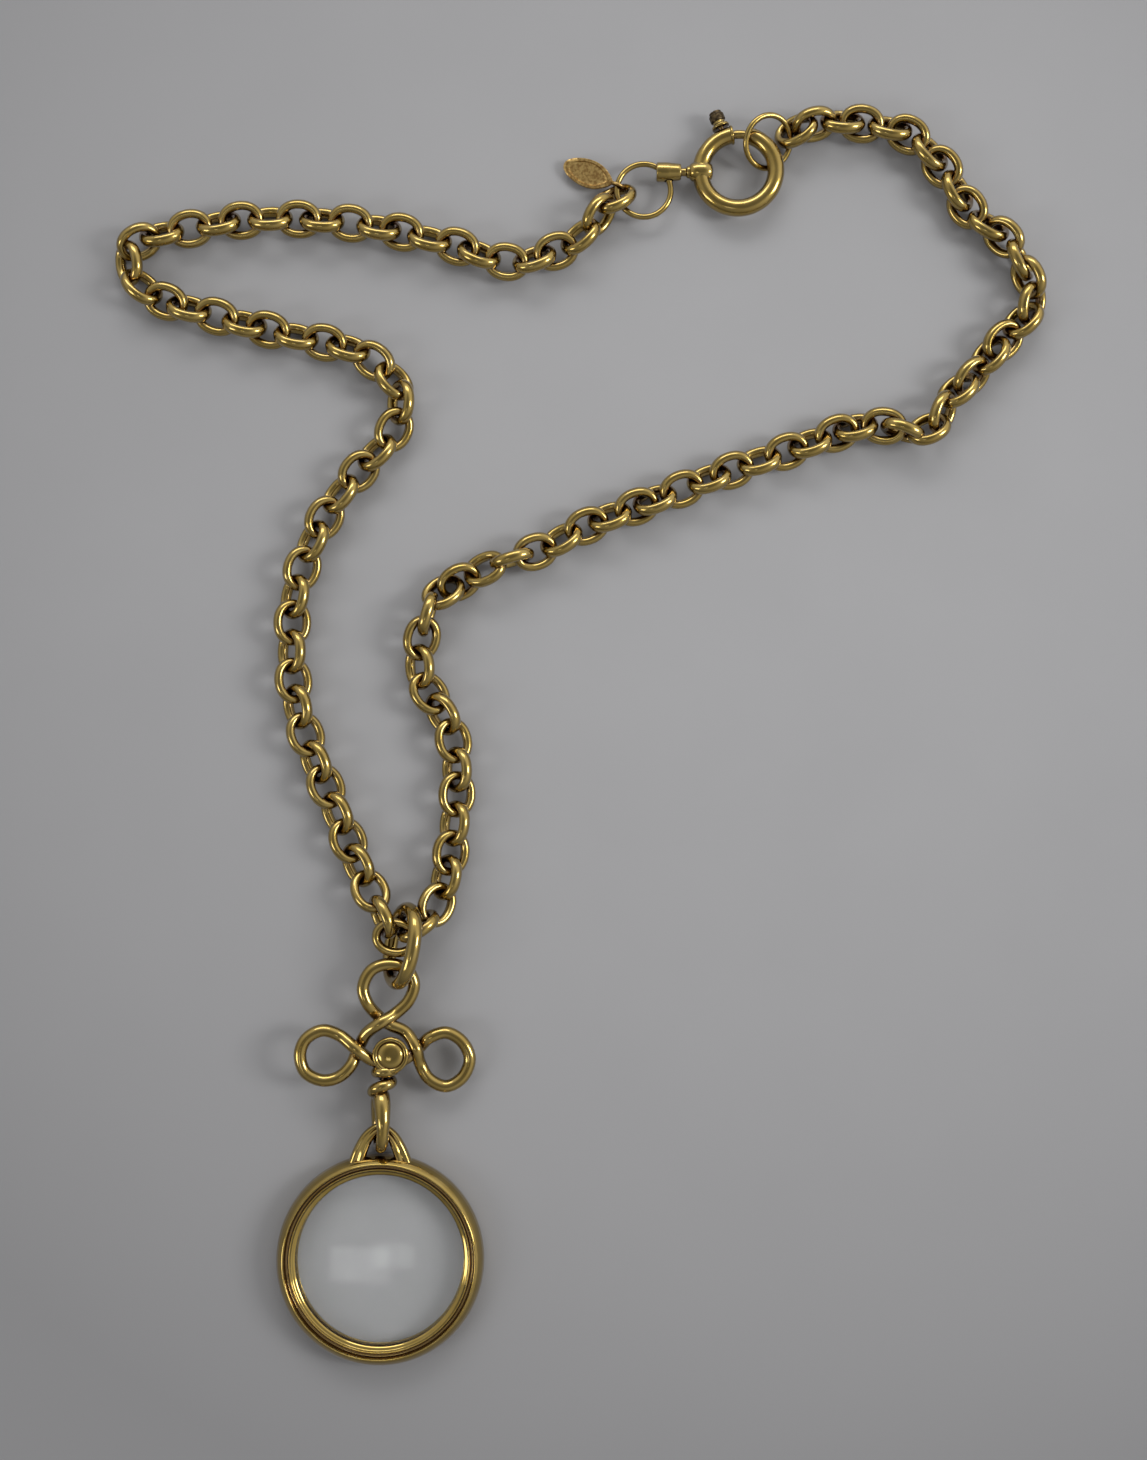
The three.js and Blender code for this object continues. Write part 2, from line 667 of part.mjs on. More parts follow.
addPiece(root, "bottom_link", link(bottomFrame), gold);

// Bail
const bailAlong = polar(1, Math.PI / 2 + bailTurn);
const bailSide = polar(1, bailTurn);
const bailUp = mix(vector(0, 0), [[bailSide, Math.sin(bailLean)], [up, Math.cos(bailLean)]]);
const bailHalf = (bailHeight - bailWire) / 2;
const bailFoot = vector(bailAside - bailHalf * Math.sin(bailLean), -bailBelow, bailWire / 2);
const bail = movingPart("bail", root, bailFoot, bailAlong);
const bailMiddle = mix(bailFoot, [[bailUp, bailHalf]]);
const bailFrame = { middle: bailMiddle, length: bailAlong, width: bailUp };
const bailOval = oval(bailFrame, bailHalf, (bailLength - bailHeight) / 2, bailWire, 24, 8);
addPiece(bail, "bail_ring", bailOval, gold);

// Trefoil: one wire, built as four stretches that meet at the far points of its loops
const bailInnerEnd = mix(bailMiddle, [[bailAlong, bailWire - bailLength / 2]]);
const trefoilTop = bailInnerEnd.clone();
trefoilTop.add(vector(-trefoilAside, trefoilPlay + trefoilWire / 2)).setZ(trefoilRise);
const trefoilZero = mix(trefoilTop, [[vector(...trefoilTopShares), -trefoilWidth]]);

function onTrefoil([across, upward, crossing]) {
  const lift = crossing * (trefoilWire - crossingBite) / 2;
  const slope = upward * Math.sin(trefoilPitch) - across * Math.sin(trefoilRoll);
  const offset = vector(across, upward, slope).multiplyScalar(trefoilWidth);
  return mix(trefoilZero, [[offset, 1], [up, lift]]);
}

function trefoilStretch(shares) {
  const curve = new THREE.CatmullRomCurve3(shares.map(onTrefoil));
  const points = curve.getPoints(2 * (shares.length - 1));
  return wire(along(points, () => trefoilWire / 2), 6);
}
const neckAhead = polar(1, -Math.PI / 2 + neckLean);
const neckTop = onTrefoil([...neckShares, 0]);
const neckFoot = mix(neckTop, [[neckAhead, neckLength]]);
const neckRod = wire(along([neckTop, neckFoot], () => neckWire / 2), 8);

// The eye loop stands on edge below the neck, its lower side on the table
const eyeHalf = (eyeHeight - eyeWire) / 2;
const eyeUp = vector(Math.sin(eyeLean), 0, Math.cos(eyeLean));
const eyeAlong = vector(0, 1);
const eyeMiddle = neckFoot.clone();
eyeMiddle.add(vector(0, (eyeWire - eyeLength) / 2)).setZ(eyeWire / 2 + eyeHalf * Math.cos(eyeLean));
const eyeFrame = { middle: eyeMiddle, length: eyeAlong, width: eyeUp };
const eyeLoop = oval(eyeFrame, eyeHalf, (eyeLength - eyeHeight) / 2, eyeWire, 20, 8);
const trefoilHinge = mix(bailInnerEnd, [[bailAlong, -bailWire / 2]]);
const pendant = movingPart("trefoil_pendant", root, trefoilHinge, vector(-1, 0));
const trefoil = join([...trefoilShares.map(trefoilStretch), neckRod, eyeLoop]);
addPiece(pendant, "trefoil_wire", trefoil, gold);

const bossRadius = bossWidth / 2;
const boss = lathe([
  [0, 0], [bossRadius - bossPlate / 3, 0], [bossRadius, bossPlate / 3],
  [bossRadius, 2 * bossPlate / 3], [bossRadius - bossPlate / 3, bossPlate],
  [bossRadius / 2, bossPlate + 2 * bossCrown / 3], [0, bossPlate + bossCrown],
], 20);
const bossMiddle = mix(onTrefoil([...bossShares, 0]), [[up, trefoilWire / 2 + bossSeat]]);
addPiece(pendant, "trefoil_boss", place(boss, bossMiddle, vector(1, 0), vector(0, 1)), gold);

// The wrap winds round the neck; both its ends run straight for one wire diameter
const wrapSteps = 12;
const wrapRadius = neckWire / 2 + wrapClearance + wrapWire / 2;
const wrapPoints = [vector(wrapRadius, -wrapWire)];
for (let step = 0; step <= wrapTurns * wrapSteps; step += 1) {
  wrapPoints.push(polar(wrapRadius, 2 * Math.PI * step / wrapSteps).setZ(wrapPitch * step / wrapSteps));
}
const wrapEnd = polar(wrapWire, 2 * Math.PI * wrapTurns + Math.PI / 2);
wrapPoints.push(wrapPoints.at(-1).clone().add(wrapEnd));
reportCoil("neck_wrap", wrapPoints, wrapWire);
const wrap = wire(along(wrapPoints, () => wrapWire / 2, vector(1, 0)), 6);
const wrapFoot = neckLength - eyeWire / 2 - neckMargin - wrapWire / 2;
const wrapStart = mix(neckTop, [[neckAhead, wrapFoot - wrapTurns * wrapPitch]]);
const wrapAcross = neckAhead.clone().cross(up);
addPiece(pendant, "neck_wrap", place(wrap, wrapStart, wrapAcross, up.clone().negate()), gold);

// Magnifier: a rim with its lug, a lens in the rim's seat and a ring that keeps it there
const eyeEnd = mix(eyeMiddle, [[eyeAlong, eyeWire - eyeLength / 2]]);
const lugTop = eyeEnd.y + lugPlay + lugWire;
const loupeMiddle = vector(eyeEnd.x - loupeAside, lugTop - lugReach - loupeRadius);
const loupeHinge = vector(eyeEnd.x, eyeEnd.y + lugPlay + lugWire / 2, lugRise);
const loupe = movingPart("magnifier", pendant, loupeHinge, vector(-1, 0));
const seatRise = loupeDepth - seatDepth;
const seatRadius = lensRadius + lensClearance;
const slopeRise = loupeDepth - slopeDepth;
const rim = lathe([
  [seatRadius, 0], [loupeRadius - rimRound, 0], [loupeRadius, rimRound],
  [loupeRadius, loupeDepth / 2], [loupeRadius - rimRound / 2, loupeDepth - rimRound],
  [crestRadius, loupeDepth], [slopeRadius, slopeRise], [windowRadius + rimLip, slopeRise + rimLip / 2],
  [windowRadius, slopeRise], [windowRadius, seatRise], [seatRadius, seatRise], [seatRadius, 0],
], 36);
const lugPath = lugShares.map(([across, out]) => (
  vector(across * lugWidth, loupeRadius + out * lugReach, lugRise)
));
const lugPoints = new THREE.CatmullRomCurve3(lugPath).getPoints(2 * (lugPath.length - 1));
const lugMiddle = (lugPoints.length - 1) / 2;
const lugWidening = (step) => Math.abs(step - lugMiddle) / lugMiddle * (lugFoot - lugWire);
const lug = wire(along(lugPoints, (step) => (lugWire + lugWidening(step)) / 2), 8);
const rimAndLug = join([rim, lug]);
addPiece(loupe, "loupe_rim", rimAndLug.translate(...loupeMiddle), gold);

const lensRise = seatRise - lensClearance - lensEdge;
const lensArc = (side, base) => [0, 0.3, 0.55, 0.8].map((share) => (
  [share * lensRadius, base + side * lensBulge * (1 - share ** 2)]
));
const lens = lathe([
  ...lensArc(-1, lensRise), [lensRadius, lensRise], [lensRadius, lensRise + lensEdge],
  ...lensArc(1, lensRise + lensEdge).reverse(),
], 36);
addPiece(loupe, "loupe_lens", lens.translate(...loupeMiddle), glass);
const retainerTop = lensRise - 1.5 * lensClearance;
const retainer = lathe([
  [lensRadius - retainerWidth, 0], [lensRadius, 0], [lensRadius, retainerTop],
  [lensRadius - retainerWidth, retainerTop], [lensRadius - retainerWidth, 0],
], 36);
addPiece(loupe, "lens_retainer", retainer.translate(...loupeMiddle), gold);

// Jump ring, and the barrel that turns on it
const places = claspPlaces(leftStrand);
const flatFrame = (middle) => ({ middle, length: vector(1, 0), width: vector(0, 1) });
const jumpRing = movingPart("jump_ring_turning", clasped, places.jumpMiddle, up);
const ringOval = (middle, thickness) => oval(flatFrame(middle), jumpRadius, 0, thickness, 24, 6);
addPiece(jumpRing, "jump_ring", ringOval(places.jumpMiddle, jumpWire), gold);

const pinTangent = polar(1, jumpPin - Math.PI / 2);
const barrelPart = movingPart("clasp_lifting", clasped, places.pin, pinTangent);
const barrelEnd = barrelLength / 2;
const cavityEnd = barrelEnd - barrelWall;
const cavityStart = cavityEnd - headLength - 2 * swivelClearance;
const headRoom = headDiameter / 2 + swivelClearance;
const neckRoom = swivelNeck / 2 + swivelClearance;

// A turned shape whose profile runs along the clasp's own X axis
function turnedAlong(profile, segments, middle) {
  const spindle = lathe(profile, segments);
  return place(spindle, middle, vector(0, 0, -1), vector(0, 1));
}
const barrelEdge = barrelWall / 2;
const barrelBody = turnedAlong([
  [0, -barrelEnd], [barrelDiameter / 2 - barrelEdge, -barrelEnd],
  [barrelDiameter / 2, barrelEdge - barrelEnd], [barrelDiameter / 2, barrelEnd - barrelEdge],
  [barrelDiameter / 2 - barrelEdge, barrelEnd], [neckRoom, barrelEnd], [neckRoom, cavityEnd],
  [headRoom, cavityEnd], [headRoom, cavityStart], [0, cavityStart],
], 20, places.barrelMiddle);
const ringRoom = ringOval(places.jumpMiddle, jumpWire + 2 * swivelClearance);
addPiece(barrelPart, "clasp_barrel", cut(barrelBody, ringRoom), gold);

// Clasp: a ring of tube, open at its mouth, with the bolt and its spring in the bore
const claspPart = movingPart("clasp_swivelling", barrelPart, places.ball, vector(1, 0));
const claspArm = claspRadius - claspTube / 2;
const claspLift = vector(-places.claspAhead.z, 0, places.claspAhead.x);

function onClasp(radius, degrees, lift = 0) {
  const angle = THREE.MathUtils.degToRad(degrees);
  return mix(places.claspMiddle, [
    [places.claspAhead, radius * Math.cos(angle)], [vector(0, 1), radius * Math.sin(angle)],
    [claspLift, lift],
  ]);
}

function claspArc(from, to, thickness, sides, radius = claspArm, stepDegrees = 12) {
  const count = Math.ceil((to - from) / stepDegrees);
  const points = [];
  for (let step = 0; step <= count; step += 1) {
    points.push(onClasp(radius, from + (to - from) * step / count));
  }
  return wire(along(points, () => thickness / 2, claspLift), sides);
}
const tube = claspArc(tubeEnd, mouth + 360, claspTube, 10);
const bore = claspArc(tubeEnd - claspBore, boreEnd, claspBore, 10, claspArm, 9);
const slotHeight = knobStem + 2 * slotClearance;
const slotCutter = claspArc(slot, slotEnd, slotHeight, 8, claspRadius - slotClearance, 9);
const ball = new THREE.SphereGeometry(ballDiameter / 2, 16, 10).translate(...places.ball);
const swivelSpan = barrelToBall - cavityEnd + swivelClearance;
const headStart = -swivelSpan - headLength;
const neckAndHead = turnedAlong([
  [0, headStart], [headDiameter / 2, headStart], [headDiameter / 2, -swivelSpan],
  [swivelNeck / 2, -swivelSpan], [swivelNeck / 2, 0], [0, 0],
], 16, places.ball);
const claspSolid = cut(join([tube, ball, neckAndHead]), bore, slotCutter);
addPiece(claspPart, "clasp_ring", claspSolid, gold);

const bolt = movingPart("clasp_bolt_sliding", claspPart, places.claspMiddle, claspLift);
const boltRod = claspArc(boltTip, boltTail, boltWire, 10);
const knobAxis = onClasp(1, knob).sub(places.claspMiddle);
const knobBase = claspRadius + knobStandoff;
function knobSpan(from, to, thickness, sides) {
  const ends = [from, to].map((radius) => mix(places.claspMiddle, [[knobAxis, radius]]));
  return wire(along(ends, () => thickness / 2, claspLift), sides);
}
const stem = knobSpan(claspArm, knobBase + knobHeight / 2, knobStem, 8);
const knobCap = knobSpan(knobBase, knobBase + knobHeight, knobWidth, 16);
addPiece(bolt, "clasp_bolt", join([boltRod, stem, knobCap]), gold);

// The spring's coil follows the bore between the bolt's tail and the bore's end
const springStart = boltTail + springMargin;
const springEnd = boreEnd - springMargin;
const coil = [];
for (let step = 0; step <= springTurns * 8; step += 1) {
  const share = step / (springTurns * 8);
  const degrees = springStart + (springEnd - springStart) * share;
  const turn = 2 * Math.PI * springTurns * share;
  const radius = claspArm + springRadius * Math.cos(turn);
  coil.push(onClasp(radius, degrees, springRadius * Math.sin(turn)));
}
reportCoil("clasp_spring", coil, springWire);
addPiece(claspPart, "clasp_spring", wire(along(coil, () => springWire / 2, claspLift), 5), steel);

// Hang tag: a bare pointed oval with a raised edge and a loop round the jump ring
const tagPin = places.jumpMiddle.clone().add(polar(jumpRadius, tagHook));
const tagTangent = polar(1, tagHook - Math.PI / 2);
const tag = movingPart("hang_tag_lifting", clasped, tagPin, tagTangent);
const loopHole = (jumpWire / 2 + tagLoopClearance);
const loopRadius = loopHole + tagLoopWire / 2;
const tagOut = loopHole + tagLoopWire;
function tagOutline(inset) {
  const outline = new THREE.Shape();
  const reach = tagLength / 2 - inset * tagLength / tagWidth;
  const wide = tagWidth - 2 * inset;
  outline.moveTo(-reach, 0);
  outline.quadraticCurveTo(0, wide, reach, 0);
  outline.quadraticCurveTo(0, -wide, -reach, 0);
  return outline;
}
const tagLayer = (inset, depth, rise) => new THREE.ExtrudeGeometry(
  tagOutline(inset), { depth, bevelEnabled: false, curveSegments: 10 },
).translate(0, 0, rise);
const tagPlate = tagLayer(0, tagThickness, -tagThickness / 2);
const tagPocket = tagLayer(tagRim, tagThickness, tagThickness / 2 - tagRimHeight);
const loopFrame = { middle: vector(-tagLength / 2 - loopHole, 0), length: vector(1, 0), width: up };
const tagLoop = oval(loopFrame, loopRadius, 0, tagLoopWire, 14, 6);
const tagSolid = join([cut(tagPlate, tagPocket), tagLoop]);
const tagDirection = polar(Math.cos(tagSlope), tagTurn).setZ(Math.sin(tagSlope));
const tagSide = up.clone().cross(tagDirection).normalize();
const tagNormal = tagDirection.clone().cross(tagSide);
const tagWide = mix(vector(0, 0), [[tagSide, Math.cos(tagRoll)], [tagNormal, Math.sin(tagRoll)]]);
const tagMiddle = mix(tagPin, [[tagDirection, tagLength / 2 + loopHole]]);
addPiece(tag, "hang_tag", place(tagSolid, tagMiddle, tagDirection, tagWide), tagGold);

// End ring, tilted so that it passes over the bolt and under the far side of the tube
const endTop = places.endSlope.clone().cross(places.endLevel);
const endRing = movingPart("end_ring_turning", clasped, places.endMiddle, endTop);
const endFrame = { middle: places.endMiddle, length: places.endSlope, width: places.endLevel };
addPiece(endRing, "end_ring", oval(endFrame, endRadius, 0, endWire, 24, 6), gold);

// The origin is under the middle of the whole
necklace.updateMatrixWorld(true);
const box = new THREE.Box3().setFromObject(necklace, true);
const centre = box.getCenter(vector(0, 0));
root.position.set(-centre.x, -centre.y, -box.min.z);
necklace.updateMatrixWorld(true);

export default necklace;
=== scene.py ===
# A chain strap for eyewear laid out on a pale table: a gold-tone oval cable chain closed by a
# spring ring clasp, with a wire trefoil and a magnifier hanging from it.
# Blender units are metres. +Z is up, +Y runs from the magnifier to the clasp.
import json
from math import atan2, ceil, cos, exp, hypot, pi, radians, sin, sqrt
import bmesh
import bpy
from mathutils import Matrix, Vector


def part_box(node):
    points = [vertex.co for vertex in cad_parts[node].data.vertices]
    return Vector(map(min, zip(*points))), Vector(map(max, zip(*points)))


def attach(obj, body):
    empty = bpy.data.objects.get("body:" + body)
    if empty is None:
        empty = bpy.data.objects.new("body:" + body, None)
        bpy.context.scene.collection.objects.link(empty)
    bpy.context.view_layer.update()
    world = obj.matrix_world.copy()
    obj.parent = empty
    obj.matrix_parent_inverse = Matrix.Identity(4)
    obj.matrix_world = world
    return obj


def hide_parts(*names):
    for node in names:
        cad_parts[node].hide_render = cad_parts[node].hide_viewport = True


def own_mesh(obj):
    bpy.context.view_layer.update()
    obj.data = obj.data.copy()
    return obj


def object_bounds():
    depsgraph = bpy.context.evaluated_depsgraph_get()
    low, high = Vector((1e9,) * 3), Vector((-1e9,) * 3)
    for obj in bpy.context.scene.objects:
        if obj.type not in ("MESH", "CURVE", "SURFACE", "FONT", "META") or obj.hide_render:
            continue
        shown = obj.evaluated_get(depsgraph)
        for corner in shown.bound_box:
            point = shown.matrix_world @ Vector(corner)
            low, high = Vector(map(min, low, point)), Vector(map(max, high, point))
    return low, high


mm = 0.001
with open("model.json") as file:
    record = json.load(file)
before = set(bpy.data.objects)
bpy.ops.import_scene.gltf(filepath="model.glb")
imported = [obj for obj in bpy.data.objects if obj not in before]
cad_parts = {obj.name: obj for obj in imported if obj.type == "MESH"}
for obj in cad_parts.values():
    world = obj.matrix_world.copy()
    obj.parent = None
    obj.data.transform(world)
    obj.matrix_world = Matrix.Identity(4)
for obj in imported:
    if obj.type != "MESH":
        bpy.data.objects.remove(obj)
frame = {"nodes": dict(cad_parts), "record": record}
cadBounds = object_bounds()
scene = bpy.context.scene
bodyOf = {
    node: body for body, nodes in frame["record"]["behaviour"]["bodies"].items() for node in nodes
}
right, ahead, up = Vector((1, 0, 0)), Vector((0, 1, 0)), Vector((0, 0, 1))
print("frame loaded,", len(frame["nodes"]), "nodes")


# Shapes shared by the pieces below

def polar(radius, angle, rise=0):
    return Vector((radius * cos(angle), radius * sin(angle), rise))


def turnsOf(count):
    return [2 * pi * step / count for step in range(count)]


def roundSection(radius, sides):
    # points of a round wire's section, as across and over
    return [(radius * cos(turn), radius * sin(turn)) for turn in turnsOf(sides)]


def stationsAlong(path, start=up):
    # a middle and two cross directions at each point, turning as little as they can
    stations = []
    across = start.copy()
    for step, middle in enumerate(path):
        along = (path[min(step + 1, len(path) - 1)] - path[max(step - 1, 0)]).normalized()
        across = (across - along * across.dot(along)).normalized()
        stations.append((middle, across.copy(), along.cross(across), 1.0))
    return stations


def withRoundEnds(stations, radius, steps=5):
    # adds shrinking sections beyond both ends, so that a cut wire is rounded off
    rounded = list(stations)
    for index, side in ((0, -1), (-1, 1)):
        middle, across, over, _ = stations[index]
        outward = across.cross(over) * side
        cap = []
        for step in range(1, steps):
            turn = pi / 2 * step / steps
            cap.append((middle + outward * radius * sin(turn), across, over, cos(turn)))
        rounded = rounded + cap if side > 0 else cap[::-1] + rounded
    return rounded


def ovalStations(place, halfLength, halfWidth, steps, roundness=2.0, shape=None, narrow=None):
    # a closed oval, from an ellipse at roundness 2 to a squarer one, drawn in where narrow says
    flat = place["width"].cross(place["length"]).normalized()
    outline = []
    for turn in turnsOf(steps):
        reach = (abs(cos(turn) / halfLength) ** roundness
                 + abs(sin(turn) / halfWidth) ** roundness) ** (-1 / roundness)
        drawnIn = narrow(cos(turn)) if narrow else 1.0
        outline.append((reach * cos(turn), reach * sin(turn) * drawnIn))
    stations = []
    for step, (along, aside) in enumerate(outline):
        before, after = outline[step - 1], outline[(step + 1) % steps]
        heading = Vector((after[0] - before[0], after[1] - before[1])).normalized()
        across = place["length"] * heading.y - place["width"] * heading.x
        middle = place["middle"] + place["length"] * along + place["width"] * aside
        scale = shape(along / halfLength, aside / halfWidth) if shape else 1.0
        stations.append((middle, across, flat, scale))
    return stations


def spansOf(marks):
    # the two ends of each span, with the marks before and after them
    padded = [marks[0] * 2 - marks[1], *marks, marks[-1] * 2 - marks[-2]]
    return zip(padded, padded[1:], padded[2:], padded[3:])


def throughPoints(marks, stepsPerSpan):
    # a smooth curve through all the marks, that doesn't overshoot where they lie close
    curve = []
    for a, b, c, d in spansOf(marks):
        times = [0]
        for one, other in ((a, b), (b, c), (c, d)):
            times.append(times[-1] + max((other - one).length, 1e-6) ** 0.5)
        t0, t1, t2, t3 = times
        for step in range(stepsPerSpan):
            t = t1 + (t2 - t1) * step / stepsPerSpan
            ab = a.lerp(b, (t - t0) / (t1 - t0))
            bc = b.lerp(c, (t - t1) / (t2 - t1))
            cd = c.lerp(d, (t - t2) / (t3 - t2))
            abc = ab.lerp(bc, (t - t0) / (t2 - t0))
            bcd = bc.lerp(cd, (t - t1) / (t3 - t1))
            curve.append(abc.lerp(bcd, (t - t1) / (t2 - t1)))
    curve.append(marks[-1])
    return curve


def bridge(bm, here, there):
    # a band of faces between two rounds of as many points
    for step in range(len(here)):
        after = (step + 1) % len(here)
        bm.faces.new((here[step], here[after], there[after], there[step]))


def sweep(bm, stations, section, closed=False):
    # carries a section along the stations, scaled at each by its last number
    rings = []
    for middle, across, over, scale in stations:
        places = [middle + (across * u + over * v) * scale for u, v in section]
        rings.append([bm.verts.new(place) for place in places])
    for here, there in zip(rings, rings[1:] + rings[:1] if closed else rings[1:]):
        bridge(bm, here, there)
    if not closed:
        bm.faces.new(rings[0][::-1])
        bm.faces.new(rings[-1])


def addRing(bm, middle, length, width, radius, wireRadius, steps, sides):
    # a round ring of wire in the plane of length and width
    place = {"middle": middle, "length": length, "width": width}
    sweep(bm, ovalStations(place, radius, radius, steps), roundSection(wireRadius, sides), closed=True)


def turned(bm, outline, steps, place=Matrix.Identity(4)):
    # turns a closed outline of (radius, height) about Z, then puts it in place
    rings = []
    for radius, height in outline:
        if radius < 1e-7:
            rings.append([bm.verts.new(place @ Vector((0, 0, height)))])
        else:
            rings.append([bm.verts.new(place @ polar(radius, turn, height)) for turn in turnsOf(steps)])
    for here, there in zip(rings, rings[1:] + rings[:1]):
        for step in range(steps):
            corners = [here[step % len(here)], here[(step + 1) % len(here)],
                       there[(step + 1) % len(there)], there[step % len(there)]]
            corners = list(dict.fromkeys(corners))
            if len(corners) > 2:
                bm.faces.new(corners)


def softened(corners, radius, steps=4):
    # rounds every corner of a closed outline that turns enough to show
    outline = []
    for index, corner in enumerate(corners):
        here = Vector(corner)
        before = Vector(corners[index - 1]) - here
        after = Vector(corners[(index + 1) % len(corners)]) - here
        if corner[0] < 1e-7 or before.angle(after) > radians(172):
            outline.append(tuple(here))
            continue
        cutBack = min(radius, 0.45 * before.length, 0.45 * after.length)
        start, end = here + before.normalized() * cutBack, here + after.normalized() * cutBack
        for step in range(steps + 1):
            share = step / steps
            spot = start * (1 - share) ** 2 + here * 2 * share * (1 - share) + end * share ** 2
            outline.append(tuple(spot))
    return outline


def basis(middle, xAxis, yAxis):
    place = Matrix((xAxis, yAxis, xAxis.cross(yAxis))).transposed().to_4x4()
    place.translation = middle
    return place


# All shapes are drawn from the bottom link's middle, on a table at height zero, and moved by origin
bottomLow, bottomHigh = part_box("bottom_link")
origin = (bottomLow + bottomHigh) / 2
origin.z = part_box("loupe_rim")[0].z


def placed(name, data):
    thing = bpy.data.objects.new(name, data)
    scene.collection.objects.link(thing)
    return thing


def newObject(name, bm, sharpAngle=40):
    bmesh.ops.remove_doubles(bm, verts=bm.verts, dist=1e-8)
    bmesh.ops.recalc_face_normals(bm, faces=bm.faces)
    bmesh.ops.translate(bm, vec=origin, verts=bm.verts)
    mesh = bpy.data.meshes.new(name)
    bm.to_mesh(mesh)
    bm.free()
    mesh.shade_smooth()
    mesh.set_sharp_from_angle(angle=radians(sharpAngle))
    return placed(name, mesh)


def carry(piece, node, finish):
    # the piece moves with the node's body
    piece.data.materials.clear()
    piece.data.materials.append(finish)
    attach(piece, bodyOf[node])


def dress(piece, node, finish):
    # the piece stands for its node as well
    carry(piece, node, finish)
    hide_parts(node)


# Finishes

def startFinish(name):
    finish = bpy.data.materials.new(name)
    finish.use_nodes = True
    tree = finish.node_tree
    tree.nodes.clear()
    output = tree.nodes.new("ShaderNodeOutputMaterial")
    shader = tree.nodes.new("ShaderNodeBsdfPrincipled")
    tree.links.new(shader.outputs["BSDF"], output.inputs["Surface"])
    place = tree.nodes.new("ShaderNodeTexCoord").outputs["Object"]
    return finish, tree, shader, place


def addNode(tree, kind, values, links):
    # some of its inputs are set, and others linked
    node = tree.nodes.new("ShaderNode" + kind)
    for socket, value in values.items():
        node.inputs[socket].default_value = value
    for socket, source in links.items():
        tree.links.new(source, node.inputs[socket])
    return node


def noiseAt(tree, place, scale, detail=2.0, roughness=0.5):
    values = {"Scale": scale, "Detail": detail, "Roughness": roughness}
    return addNode(tree, "TexNoise", values, {"Vector": place}).outputs["Fac"]


def stretched(tree, place, scale):
    return addNode(tree, "Mapping", {"Scale": scale}, {"Vector": place}).outputs["Vector"]


def fitted(tree, value, low, high, newLow, newHigh):
    values = {"From Min": low, "From Max": high, "To Min": newLow, "To Max": newHigh}
    return addNode(tree, "MapRange", values, {"Value": value}).outputs["Result"]


def blended(tree, share, one, other):
    node = tree.nodes.new("ShaderNodeMix")
    node.data_type = "RGBA"
    tree.links.new(share, node.inputs["Factor"])
    for socket, colour in ((node.inputs[6], one), (node.inputs[7], other)):
        if isinstance(colour, tuple):
            socket.default_value = (*colour, 1)
        else:
            tree.links.new(colour, socket)
    return node.outputs[2]


def bumped(tree, shader, height, distance, strength=1.0, under=None):
    links = {"Height": height, "Normal": under} if under else {"Height": height}
    node = addNode(tree, "Bump", {"Strength": strength, "Distance": distance}, links)
    tree.links.new(node.outputs["Normal"], shader.inputs["Normal"])
    return node.outputs["Normal"]


def crevices(tree, distance):
    # 0 in the open and 1 deep between touching wires; it sets the painted shade on the gold plate and the
    # oxide on the antique finish
    node = addNode(tree, "AmbientOcclusion", {"Distance": distance}, {})
    node.samples = 8
    return fitted(tree, node.outputs["AO"], 0.25, 0.85, 1, 0)


# the brown of the gold tone is painted shade, laid where the plate is hidden from the light
goldTone = {
    "colour": (0.315, 0.207, 0.03), "worn": (0.36, 0.25, 0.055), "shadeBrown": (0.105, 0.038, 0.01),
    "shadeAndOxideReach": 2.2 * mm, "shadeStrength": 0.95, "dent": 0.012 * mm, "scratch": 0.0012 * mm,
    "lacquer": 1.0, "lacquerGloss": 0.05, "patchScale": 260, "dentScale": 420, "smudgeScale": 900,
    "scratchScale": (9000, 1400, 5000),
}
# roughness of each kind of piece, where it is polished and where it is dull
glosses = {"chain": (0.14, 0.24), "wire": (0.1, 0.18), "rim": (0.07, 0.14), "clasp": (0.14, 0.25)}


def goldPlate(name, settings, polish, dull):
    # polished plate, a little uneven, paler where it rubs, and painted brown as shade where it is hidden
    # from the light, between wires and against the table
    finish, tree, shader, place = startFinish(name)
    shader.inputs["Metallic"].default_value = 1
    shader.inputs["Coat Weight"].default_value = settings["lacquer"]
    shader.inputs["Coat Roughness"].default_value = settings["lacquerGloss"]
    patches = fitted(tree, noiseAt(tree, place, settings["patchScale"], 3), 0.35, 0.7, 0, 1)
    plate = blended(tree, patches, settings["colour"], settings["worn"])
    # painted shade: the plate turns brown as far as it is hidden from the light, between touching wires and
    # next to the table
    deep = fitted(tree, crevices(tree, settings["shadeAndOxideReach"]), 0, 1, 0, settings["shadeStrength"])
    tree.links.new(blended(tree, deep, plate, settings["shadeBrown"]), shader.inputs["Base Color"])
    smudges = noiseAt(tree, place, settings["smudgeScale"], 4, 0.6)
    tree.links.new(fitted(tree, smudges, 0.3, 0.75, polish, dull), shader.inputs["Roughness"])
    waves = bumped(tree, shader, noiseAt(tree, place, settings["dentScale"], 2), settings["dent"])
    scratches = noiseAt(tree, stretched(tree, place, settings["scratchScale"]), 1, 2)
    bumped(tree, shader, scratches, settings["scratch"], 0.6, waves)
    return finish


antique = {
    "high": (0.60, 0.41, 0.15), "low": (0.21, 0.115, 0.036), "grain": 0.05 * mm,
    "grainScale": 1500, "shadeAndOxideReach": 0.9 * mm, "polish": 0.3, "dull": 0.5,
}
blackened = {**antique, "high": (0.14, 0.10, 0.05), "low": (0.025, 0.018, 0.012)}


